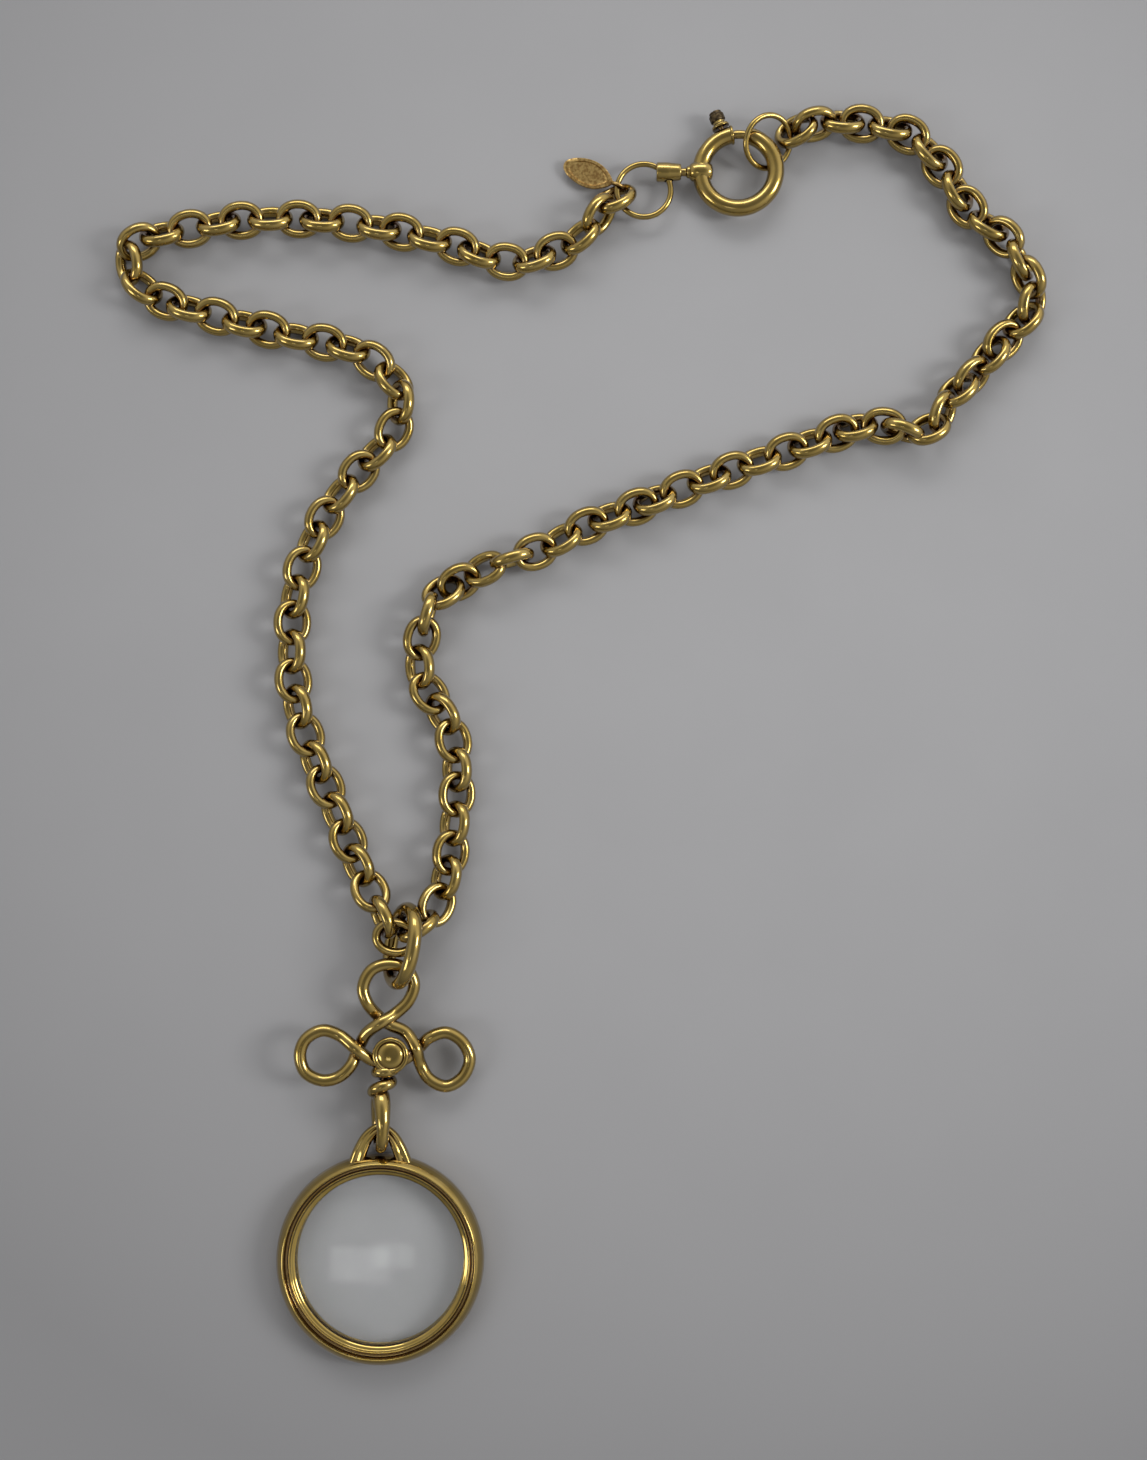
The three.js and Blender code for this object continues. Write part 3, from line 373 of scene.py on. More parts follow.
def antiqueGold(name, settings):
    # stamped and oxidised, bright only on what stands proud
    finish, tree, shader, place = startFinish(name)
    shader.inputs["Metallic"].default_value = 1
    hammer = noiseAt(tree, place, settings["grainScale"], 3)
    deep = crevices(tree, settings["shadeAndOxideReach"])
    high = fitted(tree, hammer, 0.4, 0.62, 0.15, 1)
    tone = blended(tree, high, settings["low"], settings["high"])
    tree.links.new(blended(tree, deep, tone, settings["low"]), shader.inputs["Base Color"])
    tree.links.new(fitted(tree, hammer, 0.3, 0.7, settings["dull"], settings["polish"]),
                   shader.inputs["Roughness"])
    bumped(tree, shader, hammer, settings["grain"])
    return finish


steel = {"colour": (0.52, 0.51, 0.48), "dark": (0.30, 0.28, 0.24), "polish": 0.25, "dull": 0.42}


def springSteel(name, settings):
    finish, tree, shader, place = startFinish(name)
    shader.inputs["Metallic"].default_value = 1
    drawn = noiseAt(tree, stretched(tree, place, (2500, 2500, 9000)), 1, 2)
    tree.links.new(blended(tree, drawn, settings["dark"], settings["colour"]), shader.inputs["Base Color"])
    tree.links.new(fitted(tree, drawn, 0.3, 0.7, settings["dull"], settings["polish"]),
                   shader.inputs["Roughness"])
    bumped(tree, shader, drawn, 0.004 * mm)
    return finish


glass = {"colour": (0.95, 0.96, 0.955), "smudge": (0.93, 0.94, 0.94), "ior": 1.5,
         "clean": 0.07, "smudged": 0.13}


def lensGlass(name, settings):
    # clear, with faint finger smudges that only blur a little
    finish, tree, shader, place = startFinish(name)
    shader.inputs["Transmission Weight"].default_value = 1
    shader.inputs["IOR"].default_value = settings["ior"]
    smudges = fitted(tree, noiseAt(tree, place, 120, 4, 0.6), 0.45, 0.75, 0, 1)
    tree.links.new(blended(tree, smudges, settings["colour"], settings["smudge"]),
                   shader.inputs["Base Color"])
    tree.links.new(fitted(tree, smudges, 0, 1, settings["clean"], settings["smudged"]),
                   shader.inputs["Roughness"])
    return finish


chainGold, wireGold, rimGold, claspGold = (
    goldPlate(kind + "GoldPlate", goldTone, *gloss)
    for kind, gloss in glosses.items())
tagGold = antiqueGold("antiqueGoldPlate", antique)
knobFinish = antiqueGold("blackenedKnob", blackened)
steelFinish = springSteel("springSteelWire", steel)
lensFinish = lensGlass("lensGlass", glass)
print("finishes made")


# Chain: each link is one oval of wire, deeper across its plane, and the next one hooks through it

chain = {
    "wire": 2 * mm, "depth": 2.5 * mm, "length": 10.15 * mm, "width": 8.3 * mm, "roundness": 2.12,
    "lastLift": 0.2 * mm, "solderBite": 0.12 * mm, "bunchClearance": 0.3 * mm,
    "bottomRise": 6.2 * mm, "secondRise": 5.2 * mm, "bottomTurn": radians(-8),
    "steps": 44, "sides": 16,
}
linkInner = chain["length"] - 2 * chain["wire"]
linkRise = (chain["width"] - chain["wire"]) / 2
play = {"close": 0.6 * mm, "low": 0.5 * mm, "middle": 0.87 * mm, "wide": 1.15 * mm,
        "slack": 1.65 * mm}
play["bunch"] = 2 * linkInner + chain["solderBite"] - chain["length"] - chain["bunchClearance"]
play["corner"] = play["bunch"] - 0.8 * mm

picture = {"across": 573.5, "down": 730, "focus": 1762, "tilt": radians(3),
           "height": 61.26 * linkInner}
leftCourse = [
    (390, 929), (382, 911), (369, 886), (356, 859), (346, 832), (324, 780), (303, 725), (294, 680),
    (293, 650), (294, 610), (300, 578), (309, 553), (333, 506), (372, 459), (393, 438), (403, 412),
    (401, 388), (386, 370), (366, 355), (343, 347), (317, 342), (262, 329), (209, 315), (158, 299),
    (138, 283), (128, 262), (132, 245), (150, 237), (172, 234), (200, 229), (249, 223), (305, 224),
    (363, 231), (419, 244), (474, 261), (496, 271), (521, 276), (546, 268), (570, 261), (588, 252),
    (600, 231), (613, 218), (630, 207),
]
rightCourse = [
    (407, 932), (422, 925), (437, 906), (444, 880), (450, 850), (456, 791), (453, 740), (441, 711),
    (423, 688), (416, 664), (421, 636), (428, 612), (432, 598), (446, 588), (467, 576), (490, 566),
    (515, 557), (536, 553), (558, 541), (581, 527), (634, 507), (685, 487), (739, 467), (789, 450),
    (838, 432), (860, 425), (880, 424), (902, 432), (924, 437), (936, 425), (941, 408), (951, 394),
    (972, 376), (1001, 340), (1018, 325), (1031, 308), (1032, 291), (1020, 278), (1018, 262),
    (1002, 242), (982, 227), (962, 218), (950, 197), (938, 178), (922, 162), (906, 146), (888, 138),
    (864, 135), (840, 133), (814, 134), (790, 141), (780, 146),
]
# from each link number on, the links lean by the two angles in turn
leftLeans = {1: (66, -22), 3: (45, -22), 21: (50, -42), 23: (22, -45), 33: (45, -45),
             35: (45, -22), 51: (44, -60)}
rightLeans = {
    1: (66, -22), 3: (45, -22), 13: (90, 30), 15: (-30, 30), 17: (90, -22), 19: (45, -22),
    33: (-86, 38), 35: (-54, 45), 37: (-45, 45), 39: (-22, 45), 41: (-45, 60), 43: (-60, 45),
    45: (-45, 22), 54: (52, -33),
}
# links soldered together, how often such a run follows itself, and the play after each
leftRuns = [(3, 6, "low"), (3, 4, "middle"), (4, 1, "middle"), (3, 5, "wide"), (3, 1, "middle"),
            (1, 1, "slack")]
rightRuns = [(3, 4, "middle"), (2, 1, "bunch"), (3, 2, "middle"), (2, 1, "bunch"), (3, 2, "middle"),
             (2, 2, "bunch"), (2, 1, "corner"), (2, 10, "bunch"), (1, 1, "close")]
closingJoints = {"left": 30, "right": 40}


def onTable(mark):
    aside, below = mark[0] - picture["across"], mark[1] - picture["down"]
    tilt, focus = picture["tilt"], picture["focus"]
    reach = picture["height"] / (focus * cos(tilt) + below * sin(tilt))
    away = focus * sin(tilt) - below * cos(tilt)
    return Vector((aside * reach, away * reach, 0))


def coursePoints(course, stepsPerSpan=24):
    marks = [onTable(mark) for mark in course]
    points = []
    for a, b, c, d in spansOf(marks):
        for step in range(stepsPerSpan):
            t = step / stepsPerSpan
            bend = a * 2 - b * 5 + c * 4 - d
            twist = b * 3 - a - c * 3 + d
            points.append((b * 2 + (c - a) * t + bend * t ** 2 + twist * t ** 3) / 2)
    points.append(marks[-1])
    return points


def flattened(vector):
    return Vector((vector.x, vector.y, 0))


def playsOf(runs):
    plays = [play["close"]]
    for links, times, after in runs:
        for _ in range(times):
            plays += [-chain["solderBite"]] * (links - 1) + [play[after]]
    return plays


def leansOf(rows, count):
    leans = []
    for link in range(1, count + 1):
        first = max(start for start in rows if start <= link)
        leans.append(radians(rows[first][(link - first) % 2]))
    return leans


def layStrand(course, leanRows, runs, endRise):
    # steps along the course from joint to joint, and gives every link its place
    plays = playsOf(runs)
    count = len(plays) - 1
    leans = leansOf(leanRows, count)
    needed = [hypot(chain["wire"] * sin(lean), chain["depth"] * cos(lean)) / 2
              + linkRise * abs(sin(lean)) for lean in leans]
    rises = [chain["bottomRise"], chain["secondRise"]]
    rises += [max(needed[joint - 1:joint + 1]) for joint in range(2, count - 1)]
    rises.append(max(max(needed[count - 2:count]), 2 * needed[-1] - endRise) + chain["lastLift"])
    rises.append(endRise)
    points = coursePoints(course)
    joints = [flattened(points[0]) + up * chain["bottomRise"]]
    at = 0
    for link in range(count):
        reach = linkInner - (plays[link] + plays[link + 1]) / 2
        start, rise = joints[link], rises[link + 1]
        step = sqrt(reach ** 2 - (rise - start.z) ** 2)
        ground = flattened(start)
        while at < len(points) - 2 and (points[at + 1] - ground).length < step:
            at += 1
        run, offset = points[at + 1] - points[at], points[at] - ground
        half = run.dot(offset)
        rest = half ** 2 - run.dot(run) * (offset.dot(offset) - step ** 2)
        spot = points[at] + run * ((sqrt(max(rest, 0)) - half) / run.dot(run))
        joints.append(flattened(spot) + up * rise)
    places = []
    for link, lean in enumerate(leans):
        length = (joints[link + 1] - joints[link]).normalized()
        side = Vector((length.y, -length.x, 0)).normalized()
        width = side * cos(lean) + side.cross(length) * sin(lean)
        middle = joints[link] + length * ((linkInner - plays[link]) / 2)
        places.append({"middle": middle, "length": length, "width": width})
    return {"joints": joints, "places": places, "lastPlay": plays[-1]}


def moveFrom(strand, first, matrix):
    # moves the joints and links from the given number on
    turn = matrix.to_3x3()
    strand["joints"][first:] = [matrix @ joint for joint in strand["joints"][first:]]
    for place in strand["places"][first:]:
        place["middle"] = matrix @ place["middle"]
        place["length"] = turn @ place["length"]
        place["width"] = turn @ place["width"]
    return strand


bottomLength = polar(1, chain["bottomTurn"])
bottomPlace = {"middle": up * chain["bottomRise"], "length": bottomLength,
               "width": up.cross(bottomLength)}


def strandFrom(side, course, leans, runs, endRise):
    strand = layStrand(course, leans, runs, endRise)
    firstAhead = flattened(strand["places"][0]["length"]).normalized()
    arcMiddle = bottomPlace["middle"] + bottomLength * (side * (chain["length"] - chain["width"]) / 2)
    start = arcMiddle + firstAhead * (linkRise - (chain["wire"] + play["close"]) / 2)
    return moveFrom(strand, 0, Matrix.Translation(flattened(start - strand["joints"][0])))


# Clasp end, measured from the last left link
rings = {
    "jumpWire": 1.3 * mm, "jumpRadius": 5.85 * mm, "jumpHook": radians(196),
    "jumpPin": radians(44), "endWire": 1.3 * mm, "endRadius": 5.5 * mm,
    "endTilt": radians(34), "endRise": 3.98 * mm, "endAcross": 6.5 * mm, "endUp": 6.3 * mm,
    "endHighSide": radians(135), "endHook": radians(5),
}
clasp = {
    "radius": 10 * mm, "tube": 3.7 * mm, "bore": 2.5 * mm, "tilt": radians(-3.9),
    "boltWire": 1.9 * mm, "stem": 1.2 * mm, "knobStandoff": 0.35 * mm, "flangeWidth": 3.9 * mm,
    "flangeHeight": 1.5 * mm, "knobWidth": 3.3 * mm, "knobHeight": 2.4 * mm,
    "slotClearance": 0.4 * mm, "lip": 0.75 * mm, "lipFromEnd": 1.5, "ball": 5.3 * mm,
    "ballWidth": 4.5 * mm, "ballRise": 2.85 * mm, "ballSquareness": 0.42,
    "neck": 1.8 * mm, "head": 2.8 * mm, "headLength": 0.6 * mm, "barrel": 4.2 * mm,
    "barrelLength": 6.2 * mm, "barrelTip": 2.3 * mm, "barrelWall": 0.7 * mm,
    "barrelToBall": 6.6 * mm, "barrelPin": 1.6 * mm, "clearance": 0.3 * mm,
    "springWire": 0.35 * mm, "springRadius": 0.75 * mm, "springTurns": 5, "springMargin": 3.5,
    "springPressed": 0.3,
    "mouth": 74, "boltTip": 77, "tubeEnd": 98, "slot": 104, "knob": 111, "boltTail": 126,
    "slotEnd": 146, "boreEnd": 170,
}


def hookPoint(strand, hookedWire):
    return strand["joints"][-1] - strand["places"][-1]["length"] * ((hookedWire + strand["lastPlay"]) / 2)


def claspPlaces(strand):
    hook = hookPoint(strand, rings["jumpWire"])
    jumpMiddle = hook - polar(rings["jumpRadius"], rings["jumpHook"])
    jumpMiddle.z = clasp["ballRise"]
    barrelMiddle = jumpMiddle + polar(rings["jumpRadius"], rings["jumpPin"]) + right * clasp["barrelPin"]
    ball = barrelMiddle + right * clasp["barrelToBall"]
    outward = Vector((cos(clasp["tilt"]), 0, -sin(clasp["tilt"])))
    middle = ball + outward * (clasp["radius"] - clasp["tube"] / 2)
    endMiddle = middle + Vector((rings["endAcross"], rings["endUp"], 0))
    endMiddle.z = rings["endRise"]
    level = polar(1, rings["endHighSide"] + pi / 2)
    slope = polar(cos(rings["endTilt"]), rings["endHighSide"], sin(rings["endTilt"]))
    turn = rings["endHook"] - rings["endHighSide"]
    hooked = endMiddle + (slope * cos(turn) + level * sin(turn)) * rings["endRadius"]
    return {"jumpMiddle": jumpMiddle, "barrelMiddle": barrelMiddle, "ball": ball,
            "outward": outward, "middle": middle, "endMiddle": endMiddle, "level": level,
            "slope": slope, "hooked": hooked}


def bendTo(strand, joint, wanted, current):
    pivot = strand["joints"][joint]
    angle = atan2(wanted.y, wanted.x) - atan2(current.y, current.x)
    turn = Matrix.Translation(pivot) @ Matrix.Rotation(angle, 4, "Z") @ Matrix.Translation(-pivot)
    moveFrom(strand, joint, turn)


def closeLoop(one, other):
    # both upper ends turn a little until the last right link meets the end ring
    leftPivot = one["joints"][closingJoints["left"]]
    rightPivot = other["joints"][closingJoints["right"]]
    target = flattened(claspPlaces(one)["hooked"] - leftPivot)
    tip = flattened(hookPoint(other, rings["endWire"]) - rightPivot)
    base = flattened(rightPivot - leftPivot)
    apart = base.length
    foot = (target.length_squared - tip.length_squared + apart ** 2) / (2 * apart)
    height = sqrt(target.length_squared - foot ** 2)
    along = base.normalized()
    meeting = along * foot + up.cross(along) * height
    bendTo(one, closingJoints["left"], meeting, target)
    bendTo(other, closingJoints["right"], meeting - base, tip)


leftStrand = strandFrom(-1, leftCourse, leftLeans, leftRuns, clasp["ballRise"])
endHookRise = (rings["endRise"] + chain["lastLift"] + rings["endRadius"] * sin(rings["endTilt"])
               * cos(rings["endHook"] - rings["endHighSide"]))
rightStrand = strandFrom(1, rightCourse, rightLeans, rightRuns, endHookRise)
closeLoop(leftStrand, rightStrand)


def addLink(bm, place):
    halfLength, halfWidth = (chain["length"] - chain["wire"]) / 2, linkRise
    wear = lambda along, aside: 1 - 0.03 * max(0, abs(along) - 0.75) / 0.25
    stations = ovalStations(place, halfLength, halfWidth, chain["steps"], chain["roundness"], wear)
    deeper = chain["depth"] / chain["wire"]
    section = [(u, deeper * v) for u, v in roundSection(chain["wire"] / 2, chain["sides"])]
    sweep(bm, stations, section, closed=True)


def hangStrand(strand, side, runs):
    first = 0
    count = 0
    for links, times, _ in runs:
        for _ in range(times):
            count += 1
            bm = bmesh.new()
            for place in strand["places"][first:first + links]:
                addLink(bm, place)
            first += links
            piece = newObject(f"{side}ChainLinks{count:02d}", bm)
            dress(piece, f"{side}_chain_{count:02d}", chainGold)


hangStrand(leftStrand, "left", leftRuns)
hangStrand(rightStrand, "right", rightRuns)
bm = bmesh.new()
addLink(bm, bottomPlace)
dress(newObject("bottomLink", bm), "bottom_link", chainGold)
print("chain hung,", len(leftStrand["places"]) + len(rightStrand["places"]) + 1, "links")


# Bail, the plain heavy ring round the lowest link
bail = {
    "wire": 3 * mm, "length": 18.7 * mm, "height": 15 * mm, "lean": radians(28),
    "turn": radians(-10), "aside": 1.5 * mm, "below": 1.2 * mm, "roundness": 2.1,
}
bailAlong = polar(1, pi / 2 + bail["turn"])
bailUp = polar(sin(bail["lean"]), bail["turn"], cos(bail["lean"]))
bailHalf = (bail["height"] - bail["wire"]) / 2
bailFoot = Vector((bail["aside"] - bailHalf * sin(bail["lean"]), -bail["below"], bail["wire"] / 2))
bailMiddle = bailFoot + bailUp * bailHalf


def makeBail():
    bm = bmesh.new()
    place = {"middle": bailMiddle, "length": bailAlong, "width": bailUp}
    halfLength = (bail["length"] - bail["wire"]) / 2
    stations = ovalStations(place, halfLength, bailHalf, 72, bail["roundness"])
    sweep(bm, stations, roundSection(bail["wire"] / 2, 24), closed=True)
    dress(newObject("bailRing", bm), "bail_ring", wireGold)


makeBail()

# Trefoil: one wire bent into three loops that cross at the middle
trefoil = {
    "wire": 2.7 * mm, "width": 35.5 * mm, "rise": 4.4 * mm, "pitch": radians(3.4),
    "roll": radians(5), "play": 1 * mm, "aside": 1.8 * mm, "crossingBite": 0.3 * mm,
    "topShares": (0.01, 0.735), "bossShares": (0.027, 0.2), "bossWidth": 7.7 * mm,
    "bossPlate": 1 * mm, "bossCrown": 0.7 * mm, "bossSeat": 0.3 * mm,
}
# across and up from the neck in shares of the width, and -1 under, 1 over at a crossing
trefoilShares = [
    (0, 0.15, 0), (0.065, 0.155, 0), (0.13, 0.185, 0), (0.19, 0.235, -1), (0.25, 0.295, 0),
    (0.35, 0.325, 0), (0.445, 0.27, 0), (0.49, 0.165, 0), (0.445, 0.055, 0), (0.35, 0.005, 0),
    (0.25, 0.05, 0), (0.195, 0.145, 0), (0.175, 0.235, 1), (0.11, 0.33, 0), (0.01, 0.38, 0),
    (-0.055, 0.425, -1), (-0.115, 0.505, 0), (-0.14, 0.6, 0), (-0.09, 0.7, 0), (0.01, 0.735, 0),
    (0.115, 0.705, 0), (0.16, 0.615, 0), (0.13, 0.52, 0), (0.055, 0.445, 0), (-0.035, 0.39, 1),
    (-0.12, 0.325, 0), (-0.175, 0.225, -1), (-0.215, 0.13, 0), (-0.29, 0.065, 0),
    (-0.385, 0.05, 0), (-0.48, 0.1, 0), (-0.51, 0.205, 0), (-0.475, 0.295, 0), (-0.38, 0.345, 0),
    (-0.28, 0.315, 0), (-0.175, 0.235, 1), (-0.085, 0.165, 0), (-0.01, 0.15, 0),
]
neck = {
    "wire": 0.95 * mm, "shares": (0, 0.15), "length": 7 * mm, "lean": radians(-11),
    "wrapWire": 2.5 * mm, "wrapTurns": 1.42, "wrapPitch": 2.8 * mm, "wrapStart": 1.2 * mm,
    "wrapClearance": 0.02 * mm, "wrapTurn": radians(200), "wrapTail": 1.3 * mm,
    "eyeWire": 2.6 * mm,
    "eyeLength": 13.4 * mm, "eyeHeight": 8.8 * mm, "eyeLean": radians(16),
    "eyeTopShare": 0.82, "eyeTopThicker": 1.4,
}
bailInnerEnd = bailMiddle + bailAlong * (bail["wire"] - bail["length"] / 2)
trefoilTop = bailInnerEnd + Vector((-trefoil["aside"], trefoil["play"] + trefoil["wire"] / 2, 0))
trefoilTop.z = trefoil["rise"]
trefoilZero = trefoilTop - Vector((*trefoil["topShares"], 0)) * trefoil["width"]


def onTrefoil(across, upward, crossing=0):
    lift = crossing * (trefoil["wire"] - trefoil["crossingBite"]) / 2
    slope = upward * sin(trefoil["pitch"]) - across * sin(trefoil["roll"])
    return trefoilZero + Vector((across, upward, slope)) * trefoil["width"] + up * lift


neckAhead = polar(1, -pi / 2 + neck["lean"])
neckTop = onTrefoil(*neck["shares"])
neckFoot = neckTop + neckAhead * neck["length"]
eyeHalf = (neck["eyeHeight"] - neck["eyeWire"]) / 2
eyeUp = Vector((sin(neck["eyeLean"]), 0, cos(neck["eyeLean"])))
eyeMiddle = neckFoot + Vector((0, (neck["eyeWire"] - neck["eyeLength"]) / 2, 0))
eyeMiddle.z = neck["eyeWire"] / 2 + eyeHalf * cos(neck["eyeLean"])


def makeTrefoil():
    bm = bmesh.new()
    path = throughPoints([onTrefoil(*share) for share in trefoilShares], 9)
    radius = trefoil["wire"] / 2
    sweep(bm, withRoundEnds(stationsAlong(path), radius), roundSection(radius, 20))
    neckPath = [neckTop.lerp(neckFoot, step / 12) for step in range(13)]
    sweep(bm, withRoundEnds(stationsAlong(neckPath), neck["wire"] / 2), roundSection(neck["wire"] / 2, 20))
    eyePlace = {"middle": eyeMiddle, "length": ahead, "width": eyeUp}
    halfLength = (neck["eyeLength"] - neck["eyeWire"]) / 2
    drawnIn = lambda along: 1 - (1 - neck["eyeTopShare"]) * max(0, along + 0.15) ** 1.5
    thicker = lambda along, _: 1 + (neck["eyeTopThicker"] - 1) * min(1, max(0, along + 0.3))
    stations = ovalStations(eyePlace, halfLength, eyeHalf, 64, 2.2, thicker, drawnIn)
    sweep(bm, stations, roundSection(neck["eyeWire"] / 2, 20), closed=True)
    dress(newObject("trefoilWire", bm), "trefoil_wire", wireGold)


def makeBoss():
    # a bare round button with a turned edge
    bm = bmesh.new()
    radius, plate, crown = trefoil["bossWidth"] / 2, trefoil["bossPlate"], trefoil["bossCrown"]
    corners = [(0, 0), (radius - plate / 3, 0), (radius, plate / 3), (radius, 2 * plate / 3),
               (radius - plate / 3, plate), (0.8 * radius, plate), (0.74 * radius, 0.85 * plate)]
    dome = [(0.7 * radius * cos(turn), 0.9 * plate + (crown + 0.1 * plate) * sin(turn))
            for turn in [pi / 2 * step / 10 for step in range(10)]]
    outline = softened(corners, 0.2 * mm) + dome + [(0, plate + crown)]
    middle = onTrefoil(*trefoil["bossShares"]) + up * (trefoil["wire"] / 2 + trefoil["bossSeat"])
    turned(bm, outline, 64, Matrix.Translation(middle))
    dress(newObject("trefoilButton", bm), "trefoil_boss", wireGold)


def makeWrap():
    # the wire's end, wound round the neck
    bm = bmesh.new()
    perTurn = 24
    radius = neck["wire"] / 2 + neck["wrapClearance"] + neck["wrapWire"] / 2
    points = []
    count = int(neck["wrapTurns"] * perTurn)
    for step in range(count + 1):
        turn = neck["wrapTurn"] + 2 * pi * step / perTurn
        tail = neck["wrapTail"] * max(0, 1 - (count - step) / 10) ** 2
        points.append(polar(radius, turn, neck["wrapPitch"] * step / perTurn + tail))
    start = neckTop + neckAhead * neck["wrapStart"]
    place = basis(start, neckAhead.cross(up), -up)
    path = [place @ point for point in points]
    section = roundSection(neck["wrapWire"] / 2, 16)
    sweep(bm, withRoundEnds(stationsAlong(path), neck["wrapWire"] / 2), section)
    dress(newObject("neckWrap", bm), "neck_wrap", wireGold)


makeTrefoil()
makeBoss()
makeWrap()
print("trefoil made")

# Magnifier: rim with its lug, lens, and the ring that keeps the lens in
loupe = {
    "radius": 22 * mm, "depth": 5.6 * mm, "crest": 20.2 * mm, "window": 17.8 * mm,
    "bandDepth": 1.5 * mm, "bandRound": 0.2 * mm, "seatDepth": 2.1 * mm, "lens": 18.6 * mm,
    "lensEdge": 1.75 * mm, "lensBulge": 1.2 * mm, "lensBevel": 0.15 * mm,
    "clearance": 0.3 * mm, "retainerWidth": 1.2 * mm, "lugWidth": 12.1 * mm,
    "lugReach": 6.6 * mm, "lugWire": 2.2 * mm, "lugFoot": 3.5 * mm, "lugRise": 4 * mm,
    "lugDip": 0.9 * mm, "lugPlay": 1.3 * mm, "lugGroove": 0.4, "lugGrooveWidth": 0.42,
    "lugSides": 28, "aside": 0.1 * mm,
}
# millimetres in from the radius and up from the table, then in from the crest and down from it
shoulderSpots = [(0.8, 0), (0.2, 0.5), (0, 1.5), (0, 2.6), (0.25, 3.7), (0.7, 4.6), (1.2, 5.2)]
grooveSpots = [(-0.15, 0), (0.1, 0), (0.3, 0.6), (0.42, 1.5), (0.85, 1.6), (1.05, 1.1), (1.3, 1.05),
               (1.6, 1.5)]
lugShares = [(-0.42, -0.28), (-0.33, 0.2), (-0.2, 0.62), (0, 0.8625), (0.2, 0.62), (0.33, 0.2),
             (0.42, -0.28)]
eyeEnd = eyeMiddle + Vector((0, neck["eyeWire"] - neck["eyeLength"] / 2, 0))
lugTop = eyeEnd.y + loupe["lugPlay"] + loupe["lugWire"]
loupeMiddle = Vector((eyeEnd.x - loupe["aside"], lugTop - loupe["lugReach"] - loupe["radius"], 0))
seatRise = loupe["depth"] - loupe["seatDepth"]
bandRise = loupe["depth"] - loupe["bandDepth"]
lensRise = seatRise - loupe["clearance"] - loupe["lensEdge"]


def rimOutline():
    # a broad outer shoulder up to a fine crest, a groove, a second ridge, and a band to the glass
    window, seat, rounding = loupe["window"], loupe["lens"] + loupe["clearance"], loupe["bandRound"]
    shoulder = [(loupe["radius"] - inward * mm, rise * mm) for inward, rise in shoulderSpots]
    groove = [(loupe["crest"] - inward * mm, loupe["depth"] - below * mm) for inward, below in grooveSpots]
    band = [(window + 1.25 * rounding, bandRise - rounding), (window, bandRise - 2 * rounding),
            (window, seatRise), (seat, seatRise), (seat, 0)]
    return shoulder + groove + band


def makeRim():
    bm = bmesh.new()
    turned(bm, softened(rimOutline(), 0.14 * mm), 144, Matrix.Translation(loupeMiddle))
    footShare = lugShares[-1][0]
    marks = [Vector((across * loupe["lugWidth"], loupe["radius"] + out * loupe["lugReach"],
                     loupe["lugRise"] - loupe["lugDip"] * (across / footShare) ** 4))
             for across, out in lugShares]
    path = [loupeMiddle + point for point in throughPoints(marks, 8)]
    # the lug's wire is grooved along its top and widens to its feet
    section = []
    for turn in turnsOf(loupe["lugSides"]):
        fromTop = (turn - pi / 2) / loupe["lugGrooveWidth"]
        reach = 1 - loupe["lugGroove"] * exp(-fromTop ** 2)
        section.append((reach * cos(turn), reach * sin(turn)))
    stations = []
    half = (len(path) - 1) / 2
    for step, (middle, across, over, _) in enumerate(stationsAlong(path)):
        widening = abs(step - half) / half * (loupe["lugFoot"] - loupe["lugWire"])
        stations.append((middle, over, across, (loupe["lugWire"] + widening) / 2))
    sweep(bm, stations, section)
    dress(newObject("magnifierRim", bm, 50), "loupe_rim", rimGold)


def makeLens():
    bm = bmesh.new()
    radius, bulge = loupe["lens"], loupe["lensBulge"]
    shares = [step / 14 for step in range(14)]
    low = [(share * radius, lensRise - bulge * (1 - share ** 2)) for share in shares]
    topRise = lensRise + loupe["lensEdge"]
    high = [(share * radius, topRise + bulge * (1 - share ** 2)) for share in shares]
    bevel = loupe["lensBevel"]
    edge = [(radius - bevel, lensRise), (radius, lensRise + bevel), (radius, topRise - bevel),
            (radius - bevel, topRise)]
    turned(bm, low + edge + high[::-1], 128, Matrix.Translation(loupeMiddle))
    lens = newObject("magnifierLens", bm, 30)
    dress(lens, "loupe_lens", lensFinish)
    lens.visible_shadow = False


def makeRetainer():
    bm = bmesh.new()
    top = lensRise - 1.5 * loupe["clearance"]
    outer, inner = loupe["lens"], loupe["lens"] - loupe["retainerWidth"]
    outline = softened([(inner, 0), (outer, 0), (outer, top), (inner, top)], 0.2 * mm)
    turned(bm, outline, 128, Matrix.Translation(loupeMiddle))
    dress(newObject("lensRetainer", bm), "lens_retainer", rimGold)


makeRim()
makeLens()
makeRetainer()
print("magnifier made")

# Clasp
spots = claspPlaces(leftStrand)
claspArm = clasp["radius"] - clasp["tube"] / 2
claspLift = Vector((-spots["outward"].z, 0, spots["outward"].x))


def onClasp(radius, degrees, lift=0):
    turn = radians(degrees)
    return (spots["middle"] + spots["outward"] * (radius * cos(turn))
            + ahead * (radius * sin(turn)) + claspLift * lift)


def claspArc(fromAngle, toAngle, radius=claspArm, stepDegrees=4):
    count = ceil((toAngle - fromAngle) / stepDegrees)
    return [onClasp(radius, fromAngle + (toAngle - fromAngle) * step / count) for step in range(count + 1)]


def alongX(middle):
    # turns a lathe's Z to point along X
    return basis(middle, -up, ahead)


